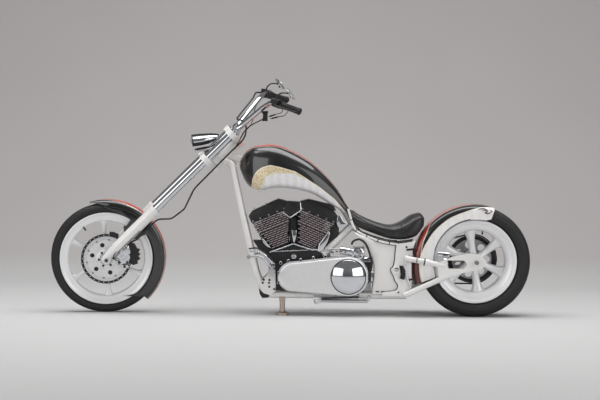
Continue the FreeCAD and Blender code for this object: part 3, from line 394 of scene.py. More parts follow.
finishes = {"tyre": tyreRubber, "chrome": chrome, "pearl_white": pearlWhite, "gloss_black": glossBlack,
            "engine_black": engineBlack, "satin_aluminium": satinCast, "steel": axleSteel,
            "black_rubber": gripRubber, "black_leather": hide, "black_metal": blackAnodised}
nodeFinishes = {"triple_clamps": pearlWhite, "front_rotor": discSteel,
                "drive_belt": beltRubber, "support_post": postMetal}
for part in frame["record"]["subparts"]:
    shown = frame["nodes"][part["node"]]
    shown.data.materials.clear()
    shown.data.materials.append(nodeFinishes.get(part["node"], finishes[part["material_slot"]]))
print("stage: materials")


# studio

studio = {
    "floorColour": "#C4C4C4", "backdropColour": "#B7B4B3",
    "backdropDistance": 5.2, "coveRadius": 3.0, "wallHeight": 7.0, "halfWidth": 16.0,
    "cameraPlace": (0.0565, -12.0, 1.12), "cameraAim": (0.0565, 0.0, 0.704),
    "cameraRoll": 0.6, "focalLength": 116.7,
    "cards": [  # name, place, aim, width and height, power
        ("overheadCard", (0, -0.3, 4.8), (0, 0, 0.4), (7.5, 3.0), 300),
        ("leftBox", (-4.8, -5.1, 2.4), (0, 0, 1.6), (5.8, 4.0), 136),
        ("rightBox", (4.8, -5.1, 2.4), (0, 0, 1.6), (5.8, 4.0), 136)],
}


def buildBackdrop(values):
    far, radius, wide = values["backdropDistance"], values["coveRadius"], values["halfWidth"]
    line = [(-18.0, 0.0), (-6.0, 0.0), (0.0, 0.0)]
    line += arcPoints((far - radius, radius), radius, -90, 0, 24)
    line.append((far, values["wallHeight"]))
    verts = [(x, y, z) for y, z in line for x in (-wide, wide)]
    faces = [(2 * i, 2 * i + 1, 2 * i + 3, 2 * i + 2) for i in range(len(line) - 1)]
    mesh = bpy.data.meshes.new("backdrop")
    mesh.from_pydata(verts, [], faces)
    for polygon in mesh.polygons:
        polygon.use_smooth = True
    # Seamless paper: matt, with the faint tooth of the roll.
    material, tree, shader, place = startMaterial("seamlessPaper", values["floorColour"], Roughness=0.9)
    parts = add(tree, "SeparateXYZ", {"Vector": place})
    rise = add(tree, "MapRange", {"Value": parts.outputs["Z"], "From Min": 0.0, "From Max": 0.16})
    tone = add(tree, "Mix", {0: rise, 6: linear(values["floorColour"]), 7: linear(values["backdropColour"])},
               data_type="RGBA")
    tooth = add(tree, "TexNoise", {"Vector": place, "Scale": 1 / (900 * mm)})
    faint = add(tree, "MapRange", {"Value": tooth, "To Max": 0.05})
    feed(tree, shader, {"Base Color": add(tree, "Mix", {0: faint, 6: tone, 7: linear("#FFFFFF")},
                                          data_type="RGBA")})
    # The paper's back is left out, so that the machine can be looked at from every side.
    back = add(tree, "NewGeometry").outputs["Backfacing"]
    feed(tree, tree.nodes["Material Output"], {
        "Surface": add(tree, "MixShader", {0: back, 1: shader, 2: add(tree, "BsdfTransparent")})})
    mesh.materials.append(material)
    backdrop = bpy.data.objects.new("backdrop", mesh)
    bpy.context.scene.collection.objects.link(backdrop)


def addCard(name, place, aim, size, power):
    light = bpy.data.lights.new(name, "AREA")
    light.shape, light.size, light.size_y = "RECTANGLE", *size
    light.energy = power
    made = bpy.data.objects.new(name, light)
    bpy.context.scene.collection.objects.link(made)
    made.visible_camera = False
    made.location = place
    made.rotation_euler = (Vector(aim) - Vector(place)).to_track_quat("-Z", "Y").to_euler()


def buildStudio(values):
    buildBackdrop(values)
    for name, place, aim, size, power in values["cards"]:
        addCard(name, place, aim, size, power)
    world = bpy.data.worlds.new("studioAir")
    bpy.context.scene.world = world
    world.use_nodes = True
    tree = world.node_tree
    lamp = tree.nodes["Background"]
    direction = add(tree, "TexCoord").outputs["Generated"]
    height = add(tree, "SeparateXYZ", {"Vector": direction}).outputs["Z"]
    dim = add(tree, "MapRange", {"Value": height, "From Min": -0.1, "From Max": 0.5,
                                 "To Min": 0.1, "To Max": 0.22}, interpolation_type="SMOOTHSTEP")
    seen = add(tree, "Math", {0: add(tree, "LightPath").outputs["Is Camera Ray"], 1: 0.42},
               operation="MULTIPLY")
    feed(tree, lamp, {"Strength": add(tree, "Math", {0: dim, 1: seen}, operation="MAXIMUM"),
                      "Color": linear("#F6F5F4")})


def buildCamera(values):
    data = bpy.data.cameras.new("studioCamera")
    data.lens, data.sensor_width = values["focalLength"], 36.0
    camera = bpy.data.objects.new("studioCamera", data)
    bpy.context.scene.collection.objects.link(camera)
    place, aim = Vector(values["cameraPlace"]), Vector(values["cameraAim"])
    look = (aim - place).to_track_quat("-Z", "Y").to_matrix().to_4x4()
    camera.matrix_world = (Matrix.Translation(place) @ look
                           @ Matrix.Rotation(math.radians(values["cameraRoll"]), 4, "Z"))
    bpy.context.scene.camera = camera


buildStudio(studio)
buildCamera(studio)
bpy.context.scene.view_settings.view_transform = "Standard"
print("stage: studio")


# painted bodywork

# Layered enamel: black ground, masked stripe and panel sprayed over it, hand-drawn pinstripes, all under one clear
# lacquer, so edges of colour are crisp and the whole shines alike. Lower down, the stripe's red is mixed towards a
# darker red: painted shade.
def layeredEnamel(name, values):
    material, tree, shader, place = startMaterial(name, values["ground"], Coat_Weight=1.0,
                                                  Coat_Roughness=0.03, Coat_IOR=1.5)
    marks = {mark: add(tree, "Attribute", attribute_name=mark).outputs["Fac"]
             for mark in ("crest", "panel", "gilt")}
    clouds = add(tree, "TexNoise", {"Vector": place, "Scale": 1 / (46 * mm), "Detail": 3.0})
    height = add(tree, "SeparateXYZ", {"Vector": place}).outputs["Z"]
    low, high = values["stripeShadeSpan"]
    # the stripe's red is mixed towards its darker red lower down: painted shade
    stripeShadeMask = add(tree, "MapRange", {"Value": height, "From Min": low * mm, "From Max": high * mm})
    ripples = add(tree, "TexWave", {"Vector": place, "Scale": 1 / (150 * mm), "Distortion": 5.0,
                                    "Detail": 1.0, "Detail Scale": 1 / (70 * mm)})
    flecks = add(tree, "TexVoronoi", {"Vector": place, "Scale": 1 / (9 * mm)},
                 feature="SMOOTH_F1")  # flakes drawn coarse to show
    fleckMask = add(tree, "MapRange", {"Value": flecks, "From Min": 0.2, "From Max": 0.6})
    coats = {}
    for coat, mask, first, second in (("stripe", stripeShadeMask, "stripeShadedLow", "stripe"),
                                      ("pearl", ripples, "panelColour", "panelShade"),
                                      ("gilding", fleckMask, "giltLight", "giltDark")):
        coats[coat] = add(tree, "Mix", {0: mask, 6: linear(values[first]), 7: linear(values[second])},
                          data_type="RGBA")
    cloudy = add(tree, "MapRange", {"Value": clouds, "To Min": -0.3, "To Max": 0.3})
    gilded = add(tree, "MapRange", {
        "Value": add(tree, "Math", {0: marks["gilt"], 1: cloudy}, operation="ADD"),
        "From Min": 0.35, "From Max": 0.75})
    panel = add(tree, "Mix", {0: gilded, 6: coats["pearl"], 7: coats["gilding"]}, data_type="RGBA")
    near, far = values["pinstripe"]
    past = {}
    for line, mark, limit in (("ground", "crest", 0), ("pinStart", "crest", near), ("pinEnd", "crest", far),
                              ("panel", "panel", 0), ("edgeEnd", "panel", values["edge"])):
        past[line] = add(tree, "Math", {0: marks[mark], 1: limit}, operation="GREATER_THAN")
    pinstripe = add(tree, "Math", {0: past["pinStart"], 1: past["pinEnd"]}, operation="SUBTRACT")
    edging = add(tree, "Math", {0: past["panel"], 1: past["edgeEnd"]}, operation="SUBTRACT")
    tint = coats["stripe"]
    for mask, coat in ((past["ground"], linear(values["ground"])), (pinstripe, linear(values["pinColour"])),
                       (past["panel"], panel), (edging, linear(values["edgeColour"]))):
        tint = add(tree, "Mix", {0: mask, 6: tint, 7: coat}, data_type="RGBA")
    skin = add(tree, "TexNoise", {"Vector": place, "Scale": 1 / (3.4 * mm)})
    feed(tree, shader, {
        "Base Color": tint,
        "Roughness": add(tree, "MapRange", {"Value": clouds, "To Min": 0.24, "To Max": 0.4}),
        "Coat Normal": add(tree, "Bump", {"Height": skin, "Distance": 0.05 * mm, "Strength": 0.22})})
    return material


paint = {
    "ground": "#060607", "stripe": "#C4463A", "stripeShadedLow": "#C4463A", "stripeShadeSpan": (0, 1),
    "pinColour": "#D9D2C4", "pinstripe": (6, 9), "panelColour": "#EDEBEB", "panelShade": "#DFDDDF",
    "giltLight": "#E6DBBE", "giltDark": "#C9B384", "edge": 5, "edgeColour": "#E9DFC6",
}


def markedSkin(name, body, rings, marks, material, place=still, sharpAngle=40):
    shell = Batch().add(loft(rings))
    made = shell.piece(name, body, material, sharpAngle, place)
    for mark, values in marks.items():
        layer = made.data.attributes.new(mark, "FLOAT", "POINT")
        layer.data.foreach_set("value", values)
    return made


def tableValue(table, place):  # straight lines between (place, value) rows
    for (low, first), (high, second) in zip(table, table[1:]):
        if place <= high:
            return first + (second - first) * max(place - low, 0) / (high - low)
    return table[-1][1]


def distanceTo(line, x, z):
    best = 1e9
    for (ax, az), (bx, bz) in zip(line, line[1:]):
        run = (bx - ax) ** 2 + (bz - az) ** 2
        along = min(max(((x - ax) * (bx - ax) + (z - az) * (bz - az)) / run, 0), 1)
        best = min(best, math.hypot(x - ax - along * (bx - ax), z - az - along * (bz - az)))
    return best


def insideOutline(outline, x, z):
    inside = False
    for (ax, az), (bx, bz) in zip(outline, outline[1:] + outline[:1]):
        if (az > z) != (bz > z) and x < ax + (z - az) * (bx - ax) / (bz - az):
            inside = not inside
    return inside


# fuel tank

tank = {
    "stations": [  # from the axle, half width, lowest, widest, highest
        (819, 12, 902, 920, 938), (827, 36, 880, 918, 956), (866, 84, 800, 890, 1008),
        (940, 130, 758, 868, 1040), (1069, 150, 776, 862, 1037), (1255, 136, 748, 820, 944),
        (1400, 104, 668, 722, 806), (1478, 78, 624, 652, 686), (1484, 70, 630, 652, 678)],
    "fullness": 0.66, "around": 180, "steps": 22,
    "stripeHalf": [(820, 22), (880, 50), (980, 78), (1260, 76), (1484, 50)],
    "panelLine": [(905, 740), (893, 780), (897, 799), (900, 830), (909, 855), (928, 884), (958, 905),
                  (1008, 921), (1070, 909), (1162, 883), (1224, 846), (1316, 786), (1409, 713),
                  (1477, 633), (1490, 615)],
    "panelFoot": [(1490, 560), (905, 560)], "belowCrest": 60.0,
    "giltReach": [(890, 96), (960, 92), (1010, 66), (1080, 40), (1160, 18), (1260, 0), (1500, 0)],
    "giltDepth": [(890, 700), (960, 790), (1100, 846), (1500, 846)],
}


def buildTank(values):
    rings, crest, panel, gilt = [], [], [], []
    line = values["panelLine"]
    outline = line + values["panelFoot"]
    for x, half, low, wide, high in smoothLine(values["stations"], values["steps"]):
        ring = stationRing(x, half, low, wide, high, values["fullness"], values["around"])
        for x, side, z in ring:
            edge = abs(side) - tableValue(values["stripeHalf"], x)
            crest.append(edge if z > wide else values["belowCrest"])
            away = distanceTo(line, x, z)
            inside = insideOutline(outline, x, z)
            panel.append(away if inside else -away)
            reach = tableValue(values["giltReach"], x)
            glow = 1.4 - away / max(reach, 1) if inside and reach else 0.0
            gilt.append(min(max(glow, 0), 1) if z > tableValue(values["giltDepth"], x) else 0.0)
        rings.append([at(*point) for point in ring])
    material = layeredEnamel("layeredEnamelTank", {**paint, "stripe": "#CC5548", "stripeShadedLow": "#CC5548"})
    made = markedSkin("fuelTank", "frame", rings, {"crest": crest, "panel": panel, "gilt": gilt}, material)
    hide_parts("fuel_tank")


buildTank(tank)
print("stage: tank")


# fenders: both are thin shells swept round a wheel, with rolled edges

def sectionRun(drops, half, skirt, crown, steps=14):
    # half section from the crown's middle to the skirt's lower edge, as (drop, side)
    side = smoothLine([(drop, reach * half) for drop, reach in drops], steps)
    foot = [(drops[-1][0] + (skirt - drops[-1][0]) * step / crown, half) for step in range(1, crown + 1)]
    return [tuple(point) for point in side] + foot


def shellRings(rows, skin):
    # closes each (angle, radius, side) half section with its mirror image and an inner skin
    rings = []
    for angle, centre, section in rows:
        c, s = math.cos(math.radians(angle)), math.sin(math.radians(angle))
        outer = [(radius, -side) for radius, side in section[::-1]] + section[1:]
        inner = []
        for index, (radius, side) in enumerate(outer):
            a, b = outer[max(index - 1, 0)], outer[min(index + 1, len(outer) - 1)]
            run = math.hypot(b[0] - a[0], b[1] - a[1])
            inner.append((radius - (b[1] - a[1]) / run * skin, side + (b[0] - a[0]) / run * skin))
        ring = outer + inner[::-1]
        rings.append([(centre[0] + radius * c, side, centre[1] + radius * s) for radius, side in ring])
    return rings


rearFender = {
    "radius": 351, "flare": 38, "join": 88, "start": 70.5, "end": 201.5, "rows": 150,
    "half": 134, "skin": 4.0, "drops": [(0, 0), (0.4, 0.3), (1.6, 0.54), (6, 0.76), (16, 0.92), (33, 1.0)],
    "skirt": 259, "skirtEnd": [(70, 20), (76, 3), (84, 0), (199, 0), (202, 6)],
    "stripeRadius": [(70, 352), (92, 350.5), (96, 348.5), (116, 351), (140, 360), (151, 347), (173, 339),
                     (180, 344), (201, 354)],
    "panelRadius": [(70, 352), (76, 345), (86, 333), (95, 321), (104, 312), (113, 310), (133, 311),
                    (156, 320), (174, 338), (202, 349)],
}


def buildRearFender(values):
    rows, crest, panel, gilt = [], [], [], []
    count = values["rows"]
    for row in range(count + 1):
        angle = values["start"] + (values["end"] - values["start"]) * row / count
        turn = math.radians(max(angle - values["join"], 0))
        flare = values["flare"] if angle > values["join"] else 0
        wide = values["radius"] + flare
        top = math.sqrt(wide ** 2 - (flare * math.sin(turn)) ** 2) - flare * math.cos(turn)
        skirt = top - values["skirt"] - tableValue(values["skirtEnd"], angle)
        half = sectionRun(values["drops"], values["half"], skirt, 16)
        run = [0.0]
        for a, b in zip(half, half[1:]):
            run.append(run[-1] + math.hypot(b[0] - a[0], b[1] - a[1]))
        edges = [tableValue(list(zip([drop for drop, side in half], run)), top - tableValue(table, angle))
                 for table in (values["stripeRadius"], values["panelRadius"])]
        rows.append((angle, (0, 0), [(top - drop, side) for drop, side in half]))
        marks = [(away - edges[0], away - edges[1]) for away in run]
        marks = marks[::-1] + marks[1:]
        marks += marks[::-1]
        crest += [mark[0] for mark in marks]
        panel += [mark[1] for mark in marks]
        gilt += [0.0] * len(marks)
    rings = [[Vector(point) * mm for point in ring] for ring in shellRings(rows, values["skin"])]
    # the stripe turns deep red from 680 mm down to 300 mm above the floor: painted shade
    material = layeredEnamel("layeredEnamelFender", {
        **paint, "stripe": "#D2594B", "stripeShadedLow": "#4E150F", "stripeShadeSpan": (300, 680), "pinstripe": (0, 4),
        "pinColour": "#E6DCC6", "panelColour": "#F2F0EE", "panelShade": "#EAE8E7", "edgeColour": "#EDE9DC"})
    made = markedSkin("rearFender", "frame", rings, {"crest": crest, "panel": panel, "gilt": gilt},
                      material, Matrix.Translation(rearAxle), 50)
    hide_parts("rear_fender")


buildRearFender(rearFender)

frontFender = {
    "radius": 363, "start": -46.0, "end": 108.0, "rows": 130, "shift": (8, 0),
    "half": 54, "skin": 3.5, "drops": [(0, 0), (1, 0.3), (5, 0.6), (12, 0.8), (24, 0.95), (40, 1.0)],
    "skirtEnd": [(-46, 0), (88, 0), (96, 12), (102, 26), (108, 37)],
    "stripe": [(-46, 38), (70, 37), (86, 24), (97, 5), (108, 0)],
    "sideArc": (331, -46, 94), "sideInner": 287, "sideSkin": (50.0, 53.6),
    "tailTip": [(-52, 300), (-60, 270), (-68, 249), (-63, 258), (-54, 273), (-46, 284)],
    "noseEdge": [(66, 287), (78, 290), (87, 302), (94, 322)],
    "bracket": [(240, 150), (180, 124), (132, 118), (104, 180), (148, 240)],
}


def buildFrontFender(values):
    rows, crest = [], []
    count = values["rows"]
    full = values["drops"][-1][0]
    for row in range(count + 1):
        angle = values["start"] + (values["end"] - values["start"]) * row / count
        keep = 1 - tableValue(values["skirtEnd"], angle) / full  # the nose tapers to a point
        half = sectionRun(values["drops"], values["half"], full + 4, 4, 8)
        half = [(drop * keep, side * (0.35 + 0.65 * keep)) for drop, side in half]
        rows.append((angle, values["shift"], [(values["radius"] - drop, side) for drop, side in half]))
        marks = [side - tableValue(values["stripe"], angle) for drop, side in half]
        marks = marks[::-1] + marks[1:]
        crest += marks + marks[::-1]
    rings = [[Vector(point) * mm for point in ring] for ring in shellRings(rows, values["skin"])]
    material = layeredEnamel("layeredEnamelNose", {**paint, "pinstripe": (3, 5.5)})
    marks = {"crest": crest, "panel": [-90.0] * len(crest), "gilt": [0.0] * len(crest)}
    made = markedSkin("frontFender", "fork", rings, marks, material, frontWheel, 50)

    centre = values["shift"]
    reach, low, high = values["sideArc"]
    outline = arcPoints(centre, reach, low, high, 60)
    outline += [polar(centre, radius, angle) for angle, radius in values["noseEdge"][::-1]]
    outline += values["bracket"][::-1]
    outline += arcPoints(centre, values["sideInner"], 30, low, 24)
    outline += [polar(centre, radius, angle) for angle, radius in values["tailTip"][::-1]]
    outline = metres(outline)
    inner, outer = (side * mm for side in values["sideSkin"])
    sides = Batch().add(plate(outline, inner, outer, 0.0008)).add(plate(outline, -outer, -inner, 0.0008))
    boss = lathe(metres([(0.4, 0), (10.5, 0), (11, 1), (11, 7.5), (0.4, 7.5)]), 32)
    for side in (left, right):  # stays from the skirts to the sliders
        place = frontWheel.inverted() @ steer @ Matrix.Translation(onFork(198, -6, side * 53.4))
        if side == left:
            place = place @ Matrix.Rotation(math.pi, 4, "X")
        sides.add(boss, 0, place)
    made = sides.piece("frontFenderSides", "fork", glossBlack, 30, frontWheel)
    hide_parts("front_fender")


buildFrontFender(frontFender)
print("stage: fenders")


# tyres: lathe profiles with grooves pressed into the tread

tyres = {
    "front": {"radius": 338, "half": 45, "flat": 12, "lip": 285, "bead": 268, "pitch": 36, "steps": 531},
    "rear": {"radius": 341, "half": 120, "flat": 62, "lip": 256, "bead": 238, "pitch": 48, "steps": 540},
    "grooveDepth": 3.2, "grooveWidth": 5.5, "grooveReach": (0.16, 0.93), "grooveLean": 0.9,
    "centreGroove": (0.1, 2.2), "ribHeight": 0.8, "ribAt": 0.3, "ribHalf": 1.6,
    "wall": [(0.06, 0.8), (0.14, 0.9), (0.26, 0.965), (0.42, 1.0), (0.6, 0.99)],
}


def buildTyre(end, shared):
    values = shared[end]
    outer, half, lip = values["radius"], values["half"], values["lip"]
    shoulder = outer - (half - values["flat"]) * 0.55
    crown = [(lip + (outer - lip) * share, half * reach) for share, reach in shared["wall"]]
    crown += [(shoulder + (outer - shoulder) * math.sin(turn),
               values["flat"] + (half * 0.93 - values["flat"]) * math.cos(turn))
              for turn in (0.0, 0.35, 0.75, 1.15, math.pi / 2)]
    line = [(lip - 3, half * 0.74)] + crown + [(outer, values["flat"] * 0.5), (outer, 0)]
    wall = [tuple(point) for point in smoothLine(line, 5)]
    wall.insert(0, (values["bead"], half * 0.74))
    profile = [(radius, -side) for radius, side in wall] + wall[::-1][1:]
    travel = [0.0]  # surface distance from the crown
    middle = len(profile) // 2
    for a, b in zip(profile, profile[1:]):
        travel.append(travel[-1] + math.dist(a, b))
    travel = [abs(run - travel[middle]) for run in travel]
    tread = values["flat"] + (half - values["flat"]) * 0.95
    first, last = shared["grooveReach"]
    centreAt, centreHalf = shared["centreGroove"]
    turns = round(math.tau * outer / values["pitch"])
    rings = []
    for step, (c, s) in enumerate(circle(values["steps"])):
        ring = []
        for (radius, side), run in zip(profile, travel):
            sink = 0.0
            if run < tread:
                lean = run / tread
                phase = (step / values["steps"] * turns + lean * shared["grooveLean"]
                         + (0.5 if side > 0 else 0.0)) % 1.0
                away = abs(phase - 0.5) * values["pitch"]
                if first < lean < last and away < shared["grooveWidth"] / 2:
                    sink = shared["grooveDepth"]
                if abs(run - tread * centreAt) < centreHalf and end == "rear":
                    sink = shared["grooveDepth"]
            elif abs(radius - lip - (outer - lip) * shared["ribAt"]) < shared["ribHalf"]:
                sink = -shared["ribHeight"]
            lift = 1 - sink / radius if run < tread else 1.0
            out = side - math.copysign(sink, side) if run >= tread else side
            ring.append((radius * lift * c * mm, out * mm, radius * lift * s * mm))
        rings.append(ring)
    place, body = wheels[end]
    made = Batch().add(loft(rings, True)).piece(end + "Tyre", body, tyreRubber, 32, place)
    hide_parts(end + "_tyre")


buildTyre("front", tyres)
buildTyre("rear", tyres)
print("stage: tyres")


# wheels: rims with six paddle spokes, brake disc, caliper and valves

rims = {
    "front": {
        "ring": [(285, 34.6), (285, 41), (280, 43.5), (274, 42), (266, 37), (254, 34.5), (244, 34),
                 (238, 32.5), (234, 28), (233, 20)],
        "well": [(262, 34.6), (252, 18)], "hub": [(17.4, 46), (34, 46), (40, 42), (40, 20)],
        "spokes": [(26, 17, 30), (60, 15, 24), (100, 13, 17), (146, 12, 14), (190, 14, 15), (215, 19, 18),
                   (236, 33, 22)], "turn": 94},
    "rear": {
        "ring": [(256, 94.6), (256, 101), (250, 103), (243, 101), (232, 92), (216, 84), (204, 76), (194, 64),
                 (189, 50), (188, 30)],
        "well": [(232, 94.6), (218, 50)], "hub": [(17.4, 132), (40, 132), (48, 126), (48, 50)],
        "spokes": [(30, 28, 50), (60, 24, 42), (90, 22, 34), (120, 23, 32), (150, 28, 34), (172, 36, 38),
                   (191, 50, 42)], "turn": 98},
    "spokeCount": 6, "edge": 0.45,
}


def buildRim(end, shared):
    values = shared[end]
    section = bothSides(smoothLine(values["ring"], 4))
    section += values["well"] + [(radius, -side) for radius, side in values["well"][::-1]]
    batch = Batch().add(lathe(metres(section), 192))
    batch.add(lathe(metres(bothSides(values["hub"])), 72))
    count = shared["spokeCount"]
    for index in range(count):
        place = Matrix.Rotation(-math.radians(values["turn"] + 360 / count * index), 4, "Y")
        rings = []
        for reach, half, thick in smoothLine(values["spokes"], 5):
            # softened diamond section: a crisp ridge runs down the middle of each face
            rings.append([(reach * mm, thick * mm * softened(s, 1 + shared["edge"]),
                           half * mm * softened(c, 1 - shared["edge"])) for c, s in circle(28)])
        batch.add(loft(rings), 0, place)
    place, body = wheels[end]
    made = batch.piece(end + "Rim", body, wheelSilver, 34, place)
    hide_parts(end + "_rim")


buildRim("front", rims)
buildRim("rear", rims)

frontDisc = {
    "side": -56.5, "thick": 5, "rows": [((139, 155), 147, 30, 3.4), ((119, 139), 128, 30, 2.3)],
    "carrier": (60, 118), "windowAt": 88, "windows": 6, "windowRadius": 14, "hubBolts": 6, "hubBoltAt": 46,
    "buttons": 10, "buttonAt": 119, "backing": (18, 112, -47), "carrierTurn": 14,
}


def drilled(reach, holes, low, high, steps=18):
    # a flat ring between two radii, cut by a round hole in every one of its equal cells
    verts, faces = [], []
    inner, outer = reach
    count = len(holes)
    for index, (x, z, radius) in enumerate(holes):
        angle = math.tau * index / count
        base = len(verts)
        hole, rim = [], []
        for step in range(steps):
            turn = math.tau * (step + 0.5) / steps
            u, v = math.cos(turn), math.sin(turn)
            hole.append((x + radius * math.cos(turn + angle), z + radius * math.sin(turn + angle)))
            scale = 1 / max(abs(u), abs(v))
            away = (inner + outer) / 2 + u * scale * (outer - inner) / 2
            swing = angle + v * scale * math.pi / count
            rim.append((away * math.cos(swing), away * math.sin(swing)))
        for side in (low, high):
            verts += [(px * mm, side * mm, pz * mm) for px, pz in hole]
            verts += [(px * mm, side * mm, pz * mm) for px, pz in rim]
        for s in range(steps):
            t = (s + 1) % steps
            corners = [((0, s), (0, t), (1, t), (1, s)), ((2, s), (3, s), (3, t), (2, t)),
                       ((0, s), (2, s), (2, t), (0, t))]
            u, v = math.cos(math.tau * (s + 1) / steps), math.sin(math.tau * (s + 1) / steps)
            if abs(u) > abs(v):  # edge faces close the inner and outer arcs only
                corners.append(((1, s), (1, t), (3, t), (3, s)))
            faces += [tuple(base + level * steps + step for level, step in face) for face in corners]
    return verts, faces


def ringOfHoles(distance, count, radius):
    return [(distance * c, distance * s, radius) for c, s in circle(count)]


def buildFrontDisc(values):
    side, thick = values["side"], values["thick"]
    disc = Batch()
    for slot, (reach, distance, count, radius) in enumerate(values["rows"]):
        disc.add(drilled(reach, ringOfHoles(distance, count, radius), side, side + thick), slot)
    near, far = values["carrier"]
    holes = ringOfHoles(values["windowAt"], values["windows"], values["windowRadius"])
    disc.add(drilled((near, far), holes, side - 1.5, side + thick + 1.5, 32), 2,
             Matrix.Rotation(math.radians(values["carrierTurn"]), 4, "Y"))
    disc.add(lathe(metres([
        (17.6, side + 6.5), (61, side + 6.5), (61, side - 2.5), (54, side - 5.5), (38, side - 6.5),
        (34, side - 3), (17.6, side - 3)]), 72), 2)
    low, high, back = values["backing"]
    disc.add(lathe(metres([(low, back - 1), (high, back - 1), (high, back + 1.4), (low, back + 1.4)]), 72), 4)
    button = lathe(metres([(0.4, 0), (6.5, 0), (6.5, -3), (5, -4.2), (0.4, -4.2)]), 20)
    for spot in spotsRound(values["buttonAt"], values["buttons"], side - 0.4, 0.3):
        disc.add(button, 3, Matrix.Translation(spot))
    for spot in spotsRound(values["hubBoltAt"], values["hubBolts"], side - 6, 0.1):
        disc.add(bolt(0.0055, 0.005, True), 4, facing(spot, leftward))
    # the outer drilled band takes the dark steel, which is painted shade
    metals = [shadedDiscBand, discSteel, blastedAlloy, axleSteel, blackAnodised]
    made = disc.piece("frontDisc", "front_wheel", metals, 30, frontWheel)
    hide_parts("front_rotor")


# Stainless brake disc steel, painted dark for the outer drilled band: painted shade.
shadedDiscBand = brushedSteel("shadedBandSteel", "#4A4B4E", "#2C2D30", (1, 1, 1), 0.4)
buildFrontDisc(frontDisc)

caliper = {
    "body": [(58, 58), (78, 96), (106, 110), (134, 96), (148, 52), (146, 4), (126, -24), (88, -30), (62, -4)],
    "face": [(68, 54), (84, 88), (106, 98), (126, 86), (137, 50), (135, 8), (120, -14), (90, -18), (71, 2)],
    "pistons": [((102, 66), 17), ((106, 14), 19)],
    "bracket": [(112, 124), (142, 104), (152, 118), (162, 98), (176, 92), (190, 64), (206, 60), (194, 42),
                (208, 30), (194, 18), (208, 2), (192, -8), (194, -26), (166, -36), (148, -26), (142, 40),
                (126, 92)],
    "foot": [(78, -24), (104, -28), (142, -24), (150, -46), (122, -58), (92, -50)],
    "bolts": [(78, 76, 5), (132, 92, 5), (144, 30, 4), (128, -16, 5), (84, -16, 5), (112, -44, 6),
              (140, -38, 4)],
    "pad": [(18, 140), (70, 126), (76, 152), (46, 166), (20, 168)],
    "lines": [
        [(196, 190), (128, 122), (70, 64), (50, 40), (44, 22), (54, 2), (72, -4), (78, -30)],
        [(202, 184), (136, 116), (84, 64), (72, 44), (70, 28)]],
    "lineSide": -119, "lineRadius": 2.6,
    "slabs": [  # outline, low and high side, edge, material
        ("body", -86, -60, 0.006, 0), ("face", -90, -84, 0.0025, 0), ("body", -50, -38, 0.004, 0),
        ("foot", -80, -62, 0.004, 0), ("bracket", -82, -38, 0.0015, 1), ("pad", -66, -42, 0.003, 1)],
    "pistonSide": -89, "boltSide": -86, "bridge": ((104, -50, 104), (52, 36, 16)),
}


def buildCaliper(values):
    batch = Batch()
    for outline, low, high, ease, slot in values["slabs"]:
        batch.add(plate(metres(values[outline]), low * mm, high * mm, ease), slot)
    for (x, z), radius in values["pistons"]:
        spot = Matrix.Translation(Vector((x, values["pistonSide"], z)) * mm)
        batch.add(lathe(metres([(0.4, 4), (radius, 4), (radius, -1), (radius * 0.92, -2.5),
                                (radius * 0.62, -2.5), (radius * 0.55, -0.5), (0.4, -0.5)]), 36), 0, spot)
        batch.add(lathe(metres([(radius, 1), (radius * 1.1, 1), (radius * 1.1, -0.6), (radius, -0.6)]), 36),
                  1, spot)
    for x, z, radius in values["bolts"]:
        spot = Vector((x, values["boltSide"], z)) * mm
        batch.add(bolt(radius * mm, 0.006, True), 1, facing(spot, leftward))
    centre, size = values["bridge"]
    batch.add(block(Vector(centre) * mm, Vector(size) * mm, 0.004), 0)
    made = batch.piece("frontCaliper", "fork", [chrome, rockerBlack], 30, frontWheel)
    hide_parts("front_caliper")
    lines = Batch()
    for line in values["lines"]:
        points = [(x, values["lineSide"] + 22 * max(0.0, (40 - z) / 70), z) for x, z in line]
        lines.add(rod([Vector(p) * mm for p in smoothLine(points, 6)], values["lineRadius"] * mm, 10))
    made = lines.piece("caliperLines", "fork", gripRubber, 60, frontWheel)


# Wrinkle-finish black powder coat: a fine pebbled skin that breaks the highlight up.
rockerBlack = powderCoat("wrinkleBlack", "#0C0C0E", "#1B1A1C", 0.46, 2.2)
buildCaliper(caliper)

wheelTrim = {
    "front": {"valveAt": 240, "valveTurn": 126, "valveSide": -30},
    "rear": {"valveAt": 196, "valveTurn": 75, "valveSide": -52},
    "hubBolts": (36, 5, -132.2),
}


def buildWheelTrim(end, values):
    trim = values[end]
    place, body = wheels[end]
    batch = Batch()
    turn = math.radians(trim["valveTurn"])
    out = Vector((math.cos(turn), 0, math.sin(turn)))
    foot = out * trim["valveAt"] * mm + Vector((0, trim["valveSide"] * mm, 0))
    stem = [(0, 7.5), (4, 7.5), (5, 5), (14, 4.4), (15, 5.6), (25, 5.6), (27, 4)]
    batch.add(rod([foot - out * drop * mm for drop, radius in stem], [radius * mm for drop, radius in stem],
                  14))
    reach, count, side = values["hubBolts"]
    for spot in spotsRound(reach, count if end == "rear" else 0, side, 0.25):
        batch.add(bolt(0.0052, 0.005, True), 0, facing(spot, leftward))
    made = batch.piece(end + "ValveAndBolts", body, blackAnodised, 30, place)


buildWheelTrim("front", wheelTrim)
buildWheelTrim("rear", wheelTrim)
print("stage: wheels and brake")


# seat: a padded hide cushion over the seat base

seat = {
    "stations": [  # from the axle, half width, lowest, widest, highest
        (1483, 58, 642, 656, 677), (1496, 78, 606, 628, 664), (1520, 90, 572, 600, 642),
        (1563, 104, 542, 572, 611), (1656, 132, 506, 534, 572), (1748, 152, 478, 508, 553),
        (1820, 162, 468, 512, 577), (1885, 156, 480, 540, 626), (1925, 142, 506, 566, 643),
        (1951, 118, 548, 586, 622)],
    "inset": 6, "fullness": 0.56, "around": 96, "steps": 9, "voxel": 6, "pressure": 4.0,
    "frames": 20, "cap": 10, "wheelGap": 392,
    "piping": 3.2, "pipingShare": 0.2, "pipingSpan": (1500, 1944, 12), "seamAt": 1812, "seam": 2.0,
}


